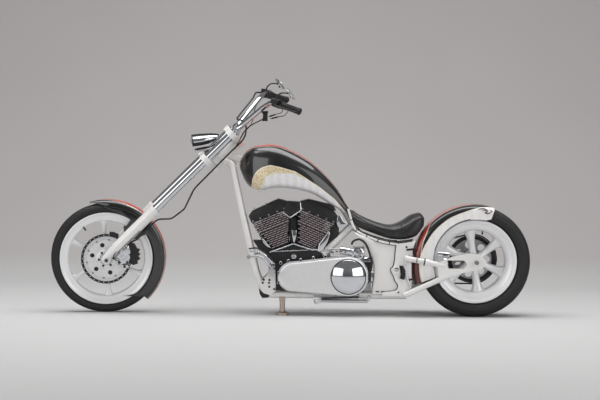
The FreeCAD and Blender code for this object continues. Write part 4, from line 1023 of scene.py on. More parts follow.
def clearOfWheel(point, gap):  # the underside follows the rear fender
    x, y, z = point
    axle = wheelbase / mm, rearAxleHeight / mm
    away = Vector((x - axle[0], z - axle[1]))
    if away.length < gap:
        away = away.normalized() * gap
        x, z = away.x + axle[0], away.y + axle[1]
    return x, y, z


def buildSeat(values):
    rings = []
    for station in smoothLine(values["stations"], values["steps"]):
        ring = stationRing(*station, values["fullness"], values["around"], values["inset"])
        rings.append([at(*clearOfWheel(point, values["wheelGap"])) for point in ring])
    cushion = Batch().add(loft(rings)).piece("seatCushion", "frame", hide, 60)
    remesh = cushion.modifiers.new("evenSkin", "REMESH")
    remesh.mode, remesh.voxel_size, remesh.use_smooth_shade = "VOXEL", values["voxel"] * mm, True
    applyModifier(cushion, remesh)
    start = [vert.co.copy() for vert in cushion.data.vertices]
    puff(cushion, values)
    capMovement(cushion, start, values["cap"] * mm)
    soften = cushion.modifiers.new("evenSurface", "SMOOTH")
    soften.factor, soften.iterations = 0.5, 2
    refine = cushion.modifiers.new("refine", "SUBSURF")
    refine.levels = refine.render_levels = 1
    return cushion


def applyModifier(made, modifier):
    bpy.context.view_layer.objects.active = made
    with bpy.context.temp_override(object=made, active_object=made, selected_objects=[made]):
        bpy.ops.object.modifier_apply(modifier=modifier.name)


def puff(made, values):
    cloth = made.modifiers.new("inflate", "CLOTH")
    settings = cloth.settings
    settings.use_pressure, settings.uniform_pressure_force = True, values["pressure"]
    settings.effector_weights.gravity = 0
    settings.quality = 5
    settings.tension_stiffness = settings.compression_stiffness = 24
    settings.shear_stiffness, settings.bending_stiffness = 12, 6
    for frameNumber in range(1, values["frames"] + 1):
        bpy.context.scene.frame_set(frameNumber)
    applyModifier(made, cloth)
    bpy.context.scene.frame_set(1)


def capMovement(made, start, limit):
    for vert, before in zip(made.data.vertices, start):
        move = vert.co - before
        if move.length > limit:
            vert.co = before + move.normalized() * limit


cushion = buildSeat(seat)
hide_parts("seat")


def seatEdge(x, share, out):  # point on the seat's side, share 0 at the widest line, 1 at the top
    rows = smoothLine(seat["stations"], 12)
    station = min(rows, key=lambda row: abs(row[0] - x))
    turn = share * math.pi / 2
    y = (station[1] + out) * math.cos(turn) ** seat["fullness"]
    return x, y, station[3] + (station[4] - station[3] + out) * abs(math.sin(turn)) ** seat["fullness"]


def buildSeatTrim(values):
    piping = Batch()
    line = [seatEdge(x, values["pipingShare"], 2.0) for x in range(*values["pipingSpan"])]
    for side in (left, right):
        piping.add(rod([at(x, side * y, z) for x, y, z in line], values["piping"] * mm, 10))
    # a seam over the back, from low on one side to low on the other
    line = [seatEdge(values["seamAt"], step / 10 * 0.94, 1.5) for step in range(3, 11)]
    across = [at(x, -y, z) for x, y, z in line] + [at(x, y, z) for x, y, z in line[::-1]]
    piping.add(rod(smoothLine(across, 3), values["seam"] * mm, 8))
    made = piping.piece("seatPiping", "frame", hide)


buildSeatTrim(seat)

seatRail = {  # bright segmented rail along the seat's lower edge, joints filled with black rubber
    "line": [(1489, 655), (1502, 612), (1524, 546), (1560, 512), (1622, 484), (1700, 458), (1772, 446),
             (1800, 446)],
    "side": 128, "noseSide": 84, "wide": 15, "deep": 9, "segment": 72, "joint": 5,
}


def buildSeatRail(values):
    batch = Batch()
    line = smoothLine(values["line"], 12)
    run, length, nose = [], 0.0, values["noseSide"]
    for a, b in zip(line, line[1:]):
        run.append((length, a, b))
        length += (b - a).length

    def along(distance):
        for start, a, b in run:
            if distance <= start + (b - a).length:
                return a + (b - a) * ((distance - start) / (b - a).length)
        return line[-1]

    def widthAt(x):
        return nose + (values["side"] - nose) * min(max((x - 1500) / 160, 0), 1)

    for side in (left, right):
        start = 0.0
        while start < length - 8:
            end = min(start + values["segment"], length)
            for first, last, slot, grow in ((start, end - values["joint"], 0, 0.0),
                                            (end - values["joint"], end, 1, -1.2)):
                rings = []
                for step in range(7):
                    distance = first + (last - first) * step / 6
                    place = along(distance)
                    ahead = along(min(distance + 2, length)) - place
                    ahead = ahead.normalized() if ahead.length > 1e-6 else Vector((1, 0))
                    up = Vector((-ahead.y, ahead.x))
                    ease = 0.82 if slot == 0 and step in (0, 6) else 1.0
                    wide, deep = (values["wide"] + grow) / 2 * ease, (values["deep"] + grow) / 2 * ease
                    rings.append([at(place.x + up.x * wide * softened(c, 0.6),
                                     side * (widthAt(place.x) + deep * softened(s, 0.6)),
                                     place.y + up.y * wide * softened(c, 0.6)) for c, s in circle(16)])
                batch.add(loft(rings), slot)
            start = end
        backing = [along(length * step / 60) for step in range(61)]
        for lift in (-1, 1):
            edge = [at(p.x, side * (widthAt(p.x) + 1), p.y + lift * (values["wide"] / 2 + 0.6))
                    for p in backing]
            batch.add(rod(edge, 0.0021, 8), 1)
    made = batch.piece("seatRail", "frame", [pearlWhite, gripRubber], 40)


buildSeatRail(seatRail)
print("stage: seat")


# engine: finned cylinders, rocker boxes and the fittings round them

engine = {
    "crank": (1153, 241), "lean": 22.5, "pitch": 12.6, "finThick": 5.6, "side": 78,
    "fins": (178, 392), "gasket": (312, 320),
    "outer": [(178, 84), (392, 112)], "inner": [(178, 52), (200, 58), (310, 112), (392, 150)],
    "brightOuter": [(196, 55), (300, 86), (312, 88), (324, 96), (392, 110)],
    "dash": 24, "dashGap": 5, "veeGap": 22,
    "rocker": [(-114, 396), (-114, 442), (-84, 461), (92, 471), (134, 440), (148, 396)],
    "rockerSideBolts": (-100, -52, 4, 60, 108), "rockerTopBolts": (-70, 10, 84),
}


def cylinderPlace(sign, values):
    x, z = values["crank"]
    return (Matrix.Translation(at(x, 0, z))
            @ Matrix.Rotation(math.radians(values["lean"] * sign), 4, "Y"))


def veeLimit(height, values):  # how far a fin may reach towards the other cylinder
    lean = math.radians(values["lean"])
    return (height * math.sin(lean) - values["veeGap"]) / math.cos(lean)


def buildCylinder(label, sign, values):
    batch = Batch()
    place = cylinderPlace(sign, values)
    height, stop = values["fins"]
    row = 0
    while height < stop:
        inGasket = values["gasket"][0] - 3 < height < values["gasket"][1] + 2
        outer, inner = (tableValue(values[key], height) for key in ("outer", "inner"))
        inner = min(inner, veeLimit(height, values))
        near, far = (-outer, inner) if sign < 0 else (-inner, outer)
        side, corner = values["side"], 16
        ring = [(far - corner, -side), (far, -side + corner), (far, side - corner), (far - corner, side),
                (near + corner, side), (near, side - corner), (near, -side + corner), (near + corner, -side)]
        if not inGasket:
            thick = values["finThick"]
            rings = [[(x * k, y * k, (height + lift) * mm) for x, y in ring]
                     for lift, k in ((0, mm * 0.985), (0.8, mm), (thick - 0.8, mm), (thick, mm * 0.985))]
            batch.add(loft(rings))
            bright = tableValue(values["brightOuter"], height)
            low, high = (-bright, inner - 8) if sign < 0 else (-inner + 8, bright)
            step = values["dash"] + values["dashGap"]
            mark = low + (row % 2) * step / 2
            while mark < high - 5 and height > values["brightOuter"][0][0]:
                end = min(mark + values["dash"], high)
                for face in (left, right):
                    batch.add(block(((mark + end) / 2 * mm, face * (side + 0.3) * mm,
                                     (height + thick / 2) * mm),
                                    ((end - mark) * mm, 1.6 * mm, (thick - 0.8) * mm), 0.0003), 1)
                mark += step
        height += values["pitch"] if not inGasket else 6
        row += 1
    barrel = lathe(metres([(2, 140), (60, 140), (60, 400), (2, 400)]), 48)
    batch.add(barrel, 0, Matrix.Rotation(math.radians(90), 4, "X"))
    low, high = values["gasket"]
    far = tableValue(values["outer"], low) - 8
    near = min(tableValue(values["inner"], low), veeLimit(low, values)) - 2
    x = (far - near) / 2 if sign > 0 else (near - far) / 2
    batch.add(block((x * mm, 0, (low + high) / 2 * mm), ((far + near) * mm, 146 * mm, (high - low) * mm),
                    0.001), 0)
    for face in (left, right):
        batch.add(block((x * mm, face * 76 * mm, (high + 0.8) * mm), ((far + near) * mm, 5 * mm, 1.8 * mm),
                        0.0004), 1)
    made = batch.piece("cylinder" + label, "frame", [engineBlack, finEdge], 35, place)
    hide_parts("cylinder_" + label.lower())


def buildRocker(label, sign, values):
    place = cylinderPlace(sign, values)
    outline = [(-sign * x * mm, z * mm) for x, z in values["rocker"]]
    batch = Batch().add(plate(outline, -0.080, 0.080, 0.007))
    shrink = [(x * 0.86 + sign * -0.004, (z - 0.43) * 0.72 + 0.432) for x, z in outline]
    batch.add(plate(shrink, -0.084, 0.084, 0.003))
    for x in values["rockerSideBolts"]:
        for face in (left, right):
            spot = (-sign * x * mm, face * 0.0796, 0.404)
            batch.add(bolt(0.0048, 0.006, True), 1, facing(spot, (0, face, 0)))
    for x in values["rockerTopBolts"]:
        for y in (-0.045, 0.045):
            batch.add(bolt(0.006, 0.007, True), 1, facing((-sign * x * mm, y, 0.4655), (0, 0, 1)))
    made = batch.piece("rocker" + label, "frame", [rockerBlack, chrome], 30, place)
    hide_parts("rocker_" + label.lower())


# Machined fin edges: the black coat is cut away, so bare aluminium shows warm and bright.
finEdge = castAluminium("machinedFinEdge", "#C9BCBE", "#AFA2A4", 0.42)
for label, sign in (("Front", -1), ("Rear", 1)):
    buildCylinder(label, sign, engine)
    buildRocker(label, sign, engine)

engineFittings = {
    "blackPlates": [  # outline, low side, high side
        ([(1132, 600), (1176, 600), (1176, 380), (1132, 380)], -50, 50),
        ([(1092, 640), (1134, 604), (1192, 646), (1192, 694), (1114, 698)], -86, 60),
        ([(1208, 660), (1218, 702), (1262, 708), (1398, 676), (1416, 644), (1330, 640)], -64, 64),
        ([(946, 165), (976, 134), (1014, 123), (1003, 107), (968, 104), (952, 128)], -114, -104),
        ([(1390, 600), (1428, 600), (1436, 505), (1404, 430), (1350, 400), (1372, 500)], -60, 60),
        ([(932, 560), (962, 480), (976, 420), (1010, 376), (1040, 380), (1000, 440), (980, 520)], -58, 58)],
    "coverBolts": [(1100, -86, 672), (1150, -86, 678), (1180, -86, 660), (1240, -64, 686),
                   (1300, -64, 684), (1360, -64, 668)],
    "trimLine": [(1085, 634), (1134, 598), (1199, 644), (1195, 692)], "trimSide": -88, "trimRadius": 3.6,
    "blades": [
        ([(1372, 519), (1380, 501), (1364, 452), (1333, 397), (1303, 392), (1313, 440), (1344, 481)],
         -108, -98),
        ([(962, 475), (974, 463), (1017, 412), (993, 417), (967, 446)], -100, -92),
        ([(1143, 526), (1159, 520), (1175, 524), (1173, 487), (1163, 447), (1156, 447), (1147, 487)],
         -104, -92),
        ([(1418, 571), (1429, 626), (1446, 612), (1462, 577), (1484, 572), (1466, 545), (1429, 541)],
         -76, -62)],
}


def buildEngineFittings(values):
    black = Batch()
    for outline, low, high in values["blackPlates"]:
        black.add(framePlate(outline, low, high, 3))
    for spot in values["coverBolts"]:
        black.add(bolt(0.005, 0.005, True), 1, facing(at(*spot), leftward))
    made = black.piece("engineBlackCovers", "frame", [rockerBlack, blackAnodised], 32)
    bright = Batch()
    line = [at(x, values["trimSide"], z) for x, z in values["trimLine"]]
    for ends in zip(line, line[1:]):
        bright.add(rod(ends, values["trimRadius"] * mm, 8))
    knuckle = lathe(metres([(0.4, -3.6), (2.5, -3.6), (3.6, -1.5), (3.6, 1.5), (2.5, 3.6), (0.4, 3.6)]), 14)
    for spot in line:
        bright.add(knuckle, 0, Matrix.Translation(spot))
    for outline, low, high in values["blades"]:
        bright.add(framePlate(outline, low, high, 3.5))
    made = bright.piece("engineBrightwork", "frame", chrome, 32)


buildEngineFittings(engineFittings)
print("stage: engine")


# frame: oil tank, pivot plates, swingarm fittings, rear pulley

frameCovers = {
    "tank": [(1516, 524), (1560, 500), (1625, 476), (1700, 452), (1772, 438), (1800, 436), (1800, 134),
             (1640, 134), (1643, 180), (1650, 240), (1651, 290), (1646, 340), (1632, 380), (1604, 416),
             (1566, 462)],
    "tankSide": 125, "plateSides": (126.5, 143),
    "gap": [(1784, 447), (1778, 400), (1774, 345), (1764, 306), (1752, 294), (1755, 272), (1768, 250),
            (1777, 222), (1790, 204), (1796, 186), (1786, 166), (1768, 158), (1700, 150)],
    "plateRest": [(1700, 126), (1874, 124), (1881, 180), (1878, 330), (1883, 400), (1893, 440), (1904, 466),
                  (1850, 456)],
    "gapRadius": 2.4, "boss": (1787, 288),
    "bossProfile": [(0.4, 6), (25, 6), (27, 1), (27, -5), (24.5, -8), (15, -8), (14, -5), (0.4, -5)],
    "plateBolts": [(1846, 428, 5), (1852, 142, 5), (1800, 150, 4), (1862, 372, 4)],
    "underBolts": [(1704, 152), (1742, 152), (1672, 152)],
}


def buildFrameCovers(values):
    tank = Batch()
    line = smoothLine(values["tank"][7:], 5) + [Vector(p) for p in values["tank"][:7]]
    outline = [(p[0], p[1]) for p in line]
    tank.add(framePlate(outline, -values["tankSide"], values["tankSide"], 9))
    made = tank.piece("oilTank", "frame", pearlWhite, 40)
    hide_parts("oil_tank")
    near, far = values["plateSides"]
    gap = [(p[0] + 2.5, p[1]) for p in smoothLine(values["gap"], 5)]
    plates, dark, bright = Batch(), Batch(), Batch()
    for side in (left, right):
        low, high = sorted((side * near, side * far))
        plates.add(framePlate(gap + values["plateRest"], low, high, 3))
        x, z = values["boss"]
        plates.add(lathe(metres(values["bossProfile"]), 48), 0, facing(at(x, side * far, z), (0, side, 0)))
        line = [at(px, side * (near + 1.4), pz) for px, pz in smoothLine(values["gap"], 5)]
        dark.add(rod(line, values["gapRadius"] * mm, 8))
        bright.add(bolt(0.011, 0.008, True), 0, facing(at(x, side * (far + 5), z), (0, side, 0)))
        dark.add(lathe(metres([(13.8, 0), (12, 0), (12, -1.2), (13.8, -1.2)]), 40), 0,
                 facing(at(x, side * (far + 4.6), z), (0, side, 0)))
        for px, pz, radius in values["plateBolts"]:
            dark.add(bolt(radius * mm, 0.004, True), 0, facing(at(px, side * far, pz), (0, side, 0)))
        for px, pz in values["underBolts"]:
            dark.add(block(at(px, side * 126.5, pz), (0.020, 0.006, 0.007), 0.0015))
    made = plates.piece("pivotPlates", "frame", pearlWhite, 34)
    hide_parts("pivot_plates")
    dark.piece("frameGapLines", "frame", gripRubber, 40)
    bright.piece("pivotBolts", "frame", chrome, 30)


buildFrameCovers(frameCovers)

swingFittings = {
    "collars": [(0.50, 22.5, 3.2), (0.56, 21, 12), (0.30, 18.8, 1.6)],  # share along, radius, half length
    "tube": [(1836, 362), (2075, 318)], "leftSide": 172, "rightSide": 200,
    "shackle": [(1803, 316), (1830, 313), (1843, 280), (1836, 228), (1806, 236), (1812, 262)],
    "links": [([(1829, 312), (1854, 240), (1880, 150)], 4.2), ([(1886, 384), (1852, 356), (1838, 318)], 5)],
    "pins": [((1846, 411), (1896, 417), 6), ((1858, 228), (1888, 231), 6)],
    "muffTube": ((2034, 390), (2108, 384)), "muffRadius": 16,
    "shackleSides": (-157, -146), "linkSide": -152, "pinSide": -148, "muffSide": -168,
    "lip": (2273, 341, 262, 98, 166),
}


def buildSwingFittings(values):
    batch = Batch()
    (ax, az), (bx, bz) = values["tube"]
    for side, span in ((left, values["leftSide"]), (right, values["rightSide"])):
        start, stop = at(ax, side * span, az), at(bx, side * span, bz)
        run = stop - start
        for index, (share, radius, half) in enumerate(values["collars"]):
            profile = bothSides([(12, -half), (radius - 1, -half), (radius, 1 - half)])
            batch.add(lathe(metres(profile), 40), 0 if index == 1 else 1, facing(start + run * share, run))
        if side == left:
            batch.add(framePlate(values["shackle"], *values["shackleSides"], 2.5), 1)
            for line, radius in values["links"]:
                line = [at(x, values["linkSide"], z) for x, z in smoothLine(line, 6)]
                batch.add(rod(line, radius * mm, 12), 2)
            for *ends, radius in values["pins"]:
                batch.add(rod([at(x, values["pinSide"], z) for x, z in ends], radius * mm, 14), 1)
            spot, over = (at(x, values["muffSide"], z) for x, z in values["muffTube"])
            radius = values["muffRadius"] * mm
            batch.add(rod([spot, spot.lerp(over, 0.03), spot.lerp(over, 0.97), over],
                          [radius * 0.8, radius, radius, radius * 0.8], 32), 2)
            tag = spot.lerp(over, 0.62) + Vector((0, -radius, -0.001))
            batch.add(block(tag, (0.030, 0.005, 0.009), 0.002), 1)
    made = batch.piece("swingarmFittings", "frame", [pearlWhite, blackAnodised, chrome], 32)
    x, z, radius, start, stop = values["lip"]  # rolled edge of the rear fender's skirt
    edges = Batch()
    for side in (left, right):
        line = [at(px, side * 134.5, pz) for px, pz in arcPoints((x, z), radius, start, stop, 60)]
        edges.add(rod(line, 0.0022, 8))
    edges.piece("fenderSeal", "frame", gripRubber, 60)


buildSwingFittings(swingFittings)

rearPulley = {
    "radius": 150, "teeth": 70, "toothDepth": 3.2, "inner": 125, "web": (46, 125), "windows": 7,
    "windowAt": 92, "windowRadius": 22, "low": 143, "high": 169, "webLow": 147, "webHigh": 153,
    "hub": [(34.2, 134), (50, 134), (60, 146), (60, 153), (52, 161), (34.2, 161)],
    "hubBolts": (50, 5, 157, 0.4),
}


def buildRearPulley(values):
    batch = Batch()
    outer, low, high = values["radius"], values["low"], values["high"]
    rings = []
    count = values["teeth"] * 8
    for step, (c, s) in enumerate(circle(count)):
        grip = 0.5 + 0.5 * math.cos(math.tau * step / count * values["teeth"])
        crest = outer - values["toothDepth"] * (1 - min(grip * 1.6, 1.0))
        profile = [(values["inner"], low), (crest, low), (crest, high), (values["inner"], high),
                   (values["inner"] + 3, (low + high) / 2)]
        rings.append([(radius * c, side, radius * s) for radius, side in metres(profile)])
    batch.add(loft(rings, True))
    holes = ringOfHoles(values["windowAt"], values["windows"], values["windowRadius"])
    batch.add(drilled(values["web"], holes, values["webLow"], values["webHigh"], 28), 1)
    batch.add(lathe(metres(values["hub"]), 64), 1)
    for spot in spotsRound(*values["hubBolts"]):
        batch.add(bolt(0.006, 0.006, True), 0, facing(spot, (0, 1, 0)))
    made = batch.piece("rearPulley", "rear_wheel", [blackAnodised, satinCast], 30, rearWheel)
    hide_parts("rear_pulley")


buildRearPulley(rearPulley)
print("stage: frame fittings")


# primary drive side: cover, crankcase front, starter cap, brackets and stand hardware

primary = {
    "front": (1153, 239, 92), "rear": (1493, 245, 125), "low": -180, "high": -106,
    "bolts": [(1079, 322), (1125, 336), (1200, 342), (1278, 356), (1352, 366), (1068, 262), (1066, 204),
              (1098, 172), (1175, 154), (1258, 148), (1336, 141), (1417, 132), (1493, 127), (1553, 139),
              (1593, 190), (1609, 262), (1594, 306)],
    "boltRadius": 5.2,
}


def hull(values, grow, steps=40):  # outline round two circles of different size
    ax, az, ar = values["front"]
    bx, bz, br = values["rear"]
    heading = math.atan2(bz - az, bx - ax)
    spread = math.acos((ar - br) / math.hypot(bx - ax, bz - az))
    start, stop = math.degrees(heading + spread), math.degrees(heading - spread)
    points = arcPoints((ax, az), ar + grow, start, start + (360 - math.degrees(2 * spread)), steps)
    points += arcPoints((bx, bz), br + grow, stop, start, steps)
    return points


def buildPrimary(values):
    low, high = values["low"], values["high"]
    cover = Batch()
    cover.add(framePlate(hull(values, 0), low + 40, high, 3))
    levels = [(low + 44, -3.5), (low + 14, -4.5), (low + 6, -7), (low + 2, -12), (low + 0.5, -18), (low, -26),
              (low, -44)]
    cover.add(loft([[at(x, side, z) for x, z in hull(values, grow)] for side, grow in levels]))
    made = cover.piece("primaryCover", "frame", blastedAlloy, 30)
    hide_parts("primary_cover")
    screws = Batch()
    washer = lathe(metres([(0.4, 4), (9.5, 4), (9.5, -1.2), (8.5, -2.2), (0.4, -2.2)]), 24)
    for x, z in values["bolts"]:
        screws.add(washer, 1, facing(at(x, low + 42, z), leftward))
        screws.add(bolt(values["boltRadius"] * mm, 0.0048, True), 0, facing(at(x, low + 39.6, z), leftward))
    screws.piece("primaryScrews", "frame", [blackAnodised, chrome], 30)
    x, z = values["rear"][:2]
    profile = [(105, -6), (108.6, -6), (109.4, -6.8), (109.2, -8.6), (108, -9.4), (105, -9.4)]
    ring = Batch().add(lathe(metres(profile), 120), 0, Matrix.Translation(at(x, low + 6, z)))
    ring.piece("domeSeal", "frame", blackAnodised, 30)


buildPrimary(primary)

crankSide = {
    "blackPlates": [
        ([(908, 455), (940, 408), (990, 380), (996, 356), (1040, 318), (1075, 296), (1139, 318), (1292, 340),
          (1327, 378), (1300, 392), (1256, 418), (1154, 436), (1022, 400), (960, 455)], -88, 40),
        ([(1044, 318), (1080, 318), (1074, 264), (1077, 205), (1092, 164), (1112, 150), (1044, 152)],
         -104, -60),
        ([(1590, 330), (1632, 330), (1632, 214), (1604, 190), (1570, 160), (1560, 190)], -118, -60)],
    "rods": [([(1011, 384), (1154, 438), (1270, 402), (1464, 411)], -97, 4.2),
             ([(1037, 389), (1244, 401)], -95, 3.2)],
    "crankDot": (1159, 362, 12),
    "chain": [(1393, 388, 11), (1420, 394, 8), (1447, 394, 11), (1473, 389, 8), (1500, 398, 11),
              (1528, 396, 8)],
    "capPlace": (1549, 386), "capRadius": 40, "capSides": (-150, -100), "capBoltAt": 26,
    "dotSide": -88, "chainSide": -150, "leverSide": -158, "plateBoltSide": 111,
    "loop": [(1510, 440), (1522, 462), (1562, 472), (1600, 440), (1624, 378), (1635, 323), (1626, 270),
             (1609, 226)],
    "loopRadius": 6.5, "loopSide": -146,
    "levers": [([(883, 397), (937, 393), (991, 362), (1030, 318)], 6.5, 0),
               ([(884, 409), (936, 412), (1000, 372), (1034, 334)], 4.5, 1)],
    "plateBolts": [(976, 217), (1011, 216), (970, 198), (1008, 198), (1010, 174), (1040, 262), (1040, 160)],
}


def buildCrankSide(values):
    black = Batch()
    for outline, low, high in values["blackPlates"]:
        black.add(framePlate(outline, low, high, 3))
    black.piece("crankcaseCovers", "frame", rockerBlack, 32)
    bright, dark = Batch(), Batch()
    for line, side, radius in values["rods"]:
        for (ax, az), (bx, bz) in zip(line, line[1:]):
            bright.add(rod([at(ax, side, az), at(bx, side, bz)], radius * mm, 12))
    x, z, radius = values["crankDot"]
    bright.add(bolt(radius * mm, 0.008, True), 0, facing(at(x, values["dotSide"], z), leftward))
    for x, z, radius in values["chain"]:
        profile = [(0.4, 12), (radius, 12), (radius, -2), (radius * 0.85, -5), (0.4, -6)]
        bright.add(lathe(metres(profile), 24), 0, facing(at(x, values["chainSide"], z), leftward))
    x, z = values["capPlace"]
    radius, (low, high) = values["capRadius"], values["capSides"]
    profile = [(0.4, high), (radius, high), (radius, low + 8), (radius - 2, low + 3), (radius - 8, low),
               (radius - 14, low), (radius - 16, low + 4), (0.4, low + 4)]
    bright.add(lathe(metres(profile), 64), 0, Matrix.Translation(at(x, 0, z)))
    for angle in (45, 135, 225, 315):
        px, pz = polar((x, z), values["capBoltAt"], angle)
        dark.add(bolt(0.004, 0.004, True), 0, facing(at(px, low + 0.2, pz), leftward))
    line = [at(px, values["loopSide"], pz) for px, pz in smoothLine(values["loop"], 8)]
    dark.add(rod(line, values["loopRadius"] * mm, 14))
    for line, radius, slot in values["levers"]:
        line = [at(px, values["leverSide"], pz) for px, pz in smoothLine(line, 6)]
        (dark if slot else bright).add(rod(line, radius * mm, 14))
    for x, z in values["plateBolts"]:
        for side in (left, right):
            spot = at(x, side * values["plateBoltSide"], z)
            dark.add(bolt(0.005, 0.004, True), 0, facing(spot, (0, side, 0)))
    bright.piece("crankcaseBrightwork", "frame", chrome, 32)
    dark.piece("crankcaseLines", "frame", gripRubber, 40)


buildCrankSide(crankSide)

standHardware = {
    "spring": [(1330, -139, 108), (1560, -139, 120)], "springRadius": 7.5, "wire": 1.7, "coils": 34,
    "coilSteps": 12, "pivot": (1312, -136, 94),
}


def buildStandHardware(values):
    batch = Batch()
    start, stop = (at(*point) for point in values["spring"])
    run = stop - start
    across = run.normalized().cross(Vector((0, 1, 0)))
    radius, line = values["springRadius"] * mm, []
    count = values["coils"] * values["coilSteps"]
    for step in range(count + 1):
        turn = math.tau * step / values["coilSteps"]
        line.append(start + run * step / count + across * radius * math.cos(turn)
                    + Vector((0, radius * math.sin(turn), 0)))
    batch.add(rod(line, values["wire"] * mm, 6))
    batch.add(bolt(0.011, 0.008, True), 1, facing(at(*values["pivot"]), leftward))
    made = batch.piece("sideStandSpring", "side_stand", [blackAnodised, chrome], 40)


buildStandHardware(standHardware)
print("stage: primary side")


# fork top: grips, controls, mirrors, cables and headlamp, written for the fork pointing straight

controls = {
    "knee": (991, 318, 1334), "tip": (1144, 418, 1286), "gripSpan": (66, 192), "gripRadius": 19.5,
    "ribPitch": 9.5, "ribDepth": 1.5, "switchRadius": 25,
    "switch": [(6, 0.86), (8, 1), (30, 1), (31, 0.95), (33, 0.95), (34, 1), (56, 1), (58, 0.84)],
    "tanks": [(12, 23, 14, 2, 10, 58), (27, 25, 3.5, 1, 8, 60)],  # above, half sizes, ease, span
    "clamp": [(30, 40, -4, 14, 9), (52, 48, -4, 12, 8)], "leverBall": (188, 50, -2),
    "leverRadius": [7.5, 6.5, 5.5, 5.0, 4.8, 5.2],
    "lever": [(38, 46, -4), (60, 56, -4), (100, 58, -3), (140, 54, -2), (170, 50, -2), (184, 50, -2)],
    "mirrorHead": (1094, 384, 1387), "mirrorSize": (57, 43, 10), "mirrorTilt": -36, "mirrorYaw": 12,
    "mirrorBack": [(0.02, 1.0), (0.35, 0.9), (0.65, 0.66), (0.86, 0.34)],  # share of size, of depth
    "mirrorRim": [(0.97, 0.0), (1.0, 2.5), (0.985, 4.0), (0.93, 4.0), (0.92, 2.4)],
    "stem": [(1006, 362, 1346), (1014, 367, 1372), (1040, 375, 1392), (1084, 383, 1390)], "stemRadius": 5.5,
}


def handPoint(side, along, ahead, above):
    knee, tip = Vector(controls["knee"]), Vector(controls["tip"])
    run = (tip - knee).normalized()
    forward = -run.cross(Vector((0, 0, 1))).normalized()
    point = knee + run * along + forward * ahead + forward.cross(run) * -above
    return at(point.x, side * point.y, point.z)


def handSolid(side, sections, square=0.55, sides=28):  # sections of along, ahead, above, half sizes
    rings = []
    for along, ahead, above, wide, tall in sections:
        rings.append([handPoint(side, along, ahead + wide * softened(c, square),
                                above + tall * softened(s, square)) for c, s in circle(sides)])
    return loft(rings)


def buildControls(values):
    grips, housings = Batch(), Batch()
    for side in (left, right):
        start, stop = values["gripSpan"]
        line, sizes = [], []
        radius = values["gripRadius"]
        for along, size in ((start - 2, radius * 0.8), (start, radius * 1.18), (start + 5, radius * 1.18),
                            (start + 6, radius)):
            line.append(along)
            sizes.append(size)
        along = start + 10
        while along < stop - 12:
            for share, depth in ((0, 0), (0.5, 0), (0.6, 1), (0.9, 1)):
                line.append(along + share * values["ribPitch"])
                sizes.append(radius - depth * values["ribDepth"])
            along += values["ribPitch"]
        for along, share in ((stop - 10, 1.1), (stop - 2, 1.12), (stop + 3, 0.95), (stop + 5, 0.6)):
            line.append(along)
            sizes.append(radius * share)
        grips.add(rod([handPoint(side, along, 0, 0) for along in line], [size * mm for size in sizes], 32))
        size = values["switchRadius"]
        barrel = [(along, 0, 0, size * share, size * share) for along, share in values["switch"]]
        housings.add(handSolid(side, barrel, 0.8))
        for above, wide, tall, ease, start, stop in values["tanks"]:
            housings.add(handSolid(side, [
                (start, 30, above, wide - 2, tall - ease), (start + 2, 30, above, wide, tall),
                (stop - 2, 30, above, wide, tall), (stop, 30, above, wide - 2, tall - ease)]))
        housings.add(handSolid(side, values["clamp"]))
        lever = smoothLine([Vector(point) for point in values["lever"]], 5)
        wide = smoothLine([Vector((radius, 0)) for radius in values["leverRadius"]], 5)
        housings.add(rod([handPoint(side, *point) for point in lever], [w.x * mm for w in wide], 16), 1)
        ball = metres(bothSides([(0.4, 8), (4.5, 6.8), (7.8, 3)]))
        housings.add(lathe(ball, 24), 1, Matrix.Translation(handPoint(side, *values["leverBall"])))
        for along in (16, 50):
            for ahead in (14, 44):
                spot = handPoint(side, along, ahead, 30.6)
                housings.add(bolt(0.003, 0.002, True), 2, facing(spot, (0, 0, 1)))
    made = grips.piece("ribbedGrips", "fork", gripRubber, 30, steer)
    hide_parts("grips")
    made = housings.piece("handControls", "fork", [rockerBlack, blackAnodised, axleSteel], 34, steer)
    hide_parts("hand_controls")


# Silvered glass: a flat, perfectly clear mirror behind a hair of surface dust.
mirrorGlass = chromePlate("mirrorGlass", "#D5D8DC", "#C3C8CE", 0.03, 0.03)


def buildMirrors(values):
    batch = Batch()
    wide, tall, deep = values["mirrorSize"]
    for side in (left, right):
        head = values["mirrorHead"]
        centre = at(head[0], side * head[1], head[2])
        turn = (Matrix.Translation(centre) @ Matrix.Rotation(math.radians(side * values["mirrorYaw"]), 4, "Z")
                @ Matrix.Rotation(math.radians(values["mirrorTilt"]), 4, "Y"))
        rings = []
        levels = [(share, -deep * depth) for share, depth in values["mirrorBack"]] + values["mirrorRim"]
        for share, depth in levels:
            rings.append([Vector((depth, share * wide * c, share * tall * s * (1 + 0.14 * c * side))) * mm
                          for c, s in circle(64)])
        batch.add(loft(rings), 0, turn)
        glass = [[vert + Vector((lift, 0, 0)) for vert in rings[-1]] for lift in (0.0004, 0.0016)]
        batch.add(loft(glass), 1, turn)
        line = [at(x, side * y, z) for x, y, z in smoothLine(values["stem"], 8)]
        sizes = [values["stemRadius"] * mm * (1 - 0.35 * index / len(line)) for index in range(len(line))]
        batch.add(rod(line, sizes, 16), 2)
        for lift in (-0.012, 0.012):
            spot = turn @ Vector((-deep * mm * 0.9 - 0.002, 0, lift))
            boss = metres([(0.4, -5), (4, -4), (5.5, 0), (4, 4), (0.4, 5)])
            batch.add(lathe(boss, 18), 2, Matrix.Translation(spot))
    made = batch.piece("mirrorPair", "fork", [chrome, mirrorGlass, blackAnodised], 40, steer)
    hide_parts("mirrors")


buildControls(controls)
buildMirrors(controls)

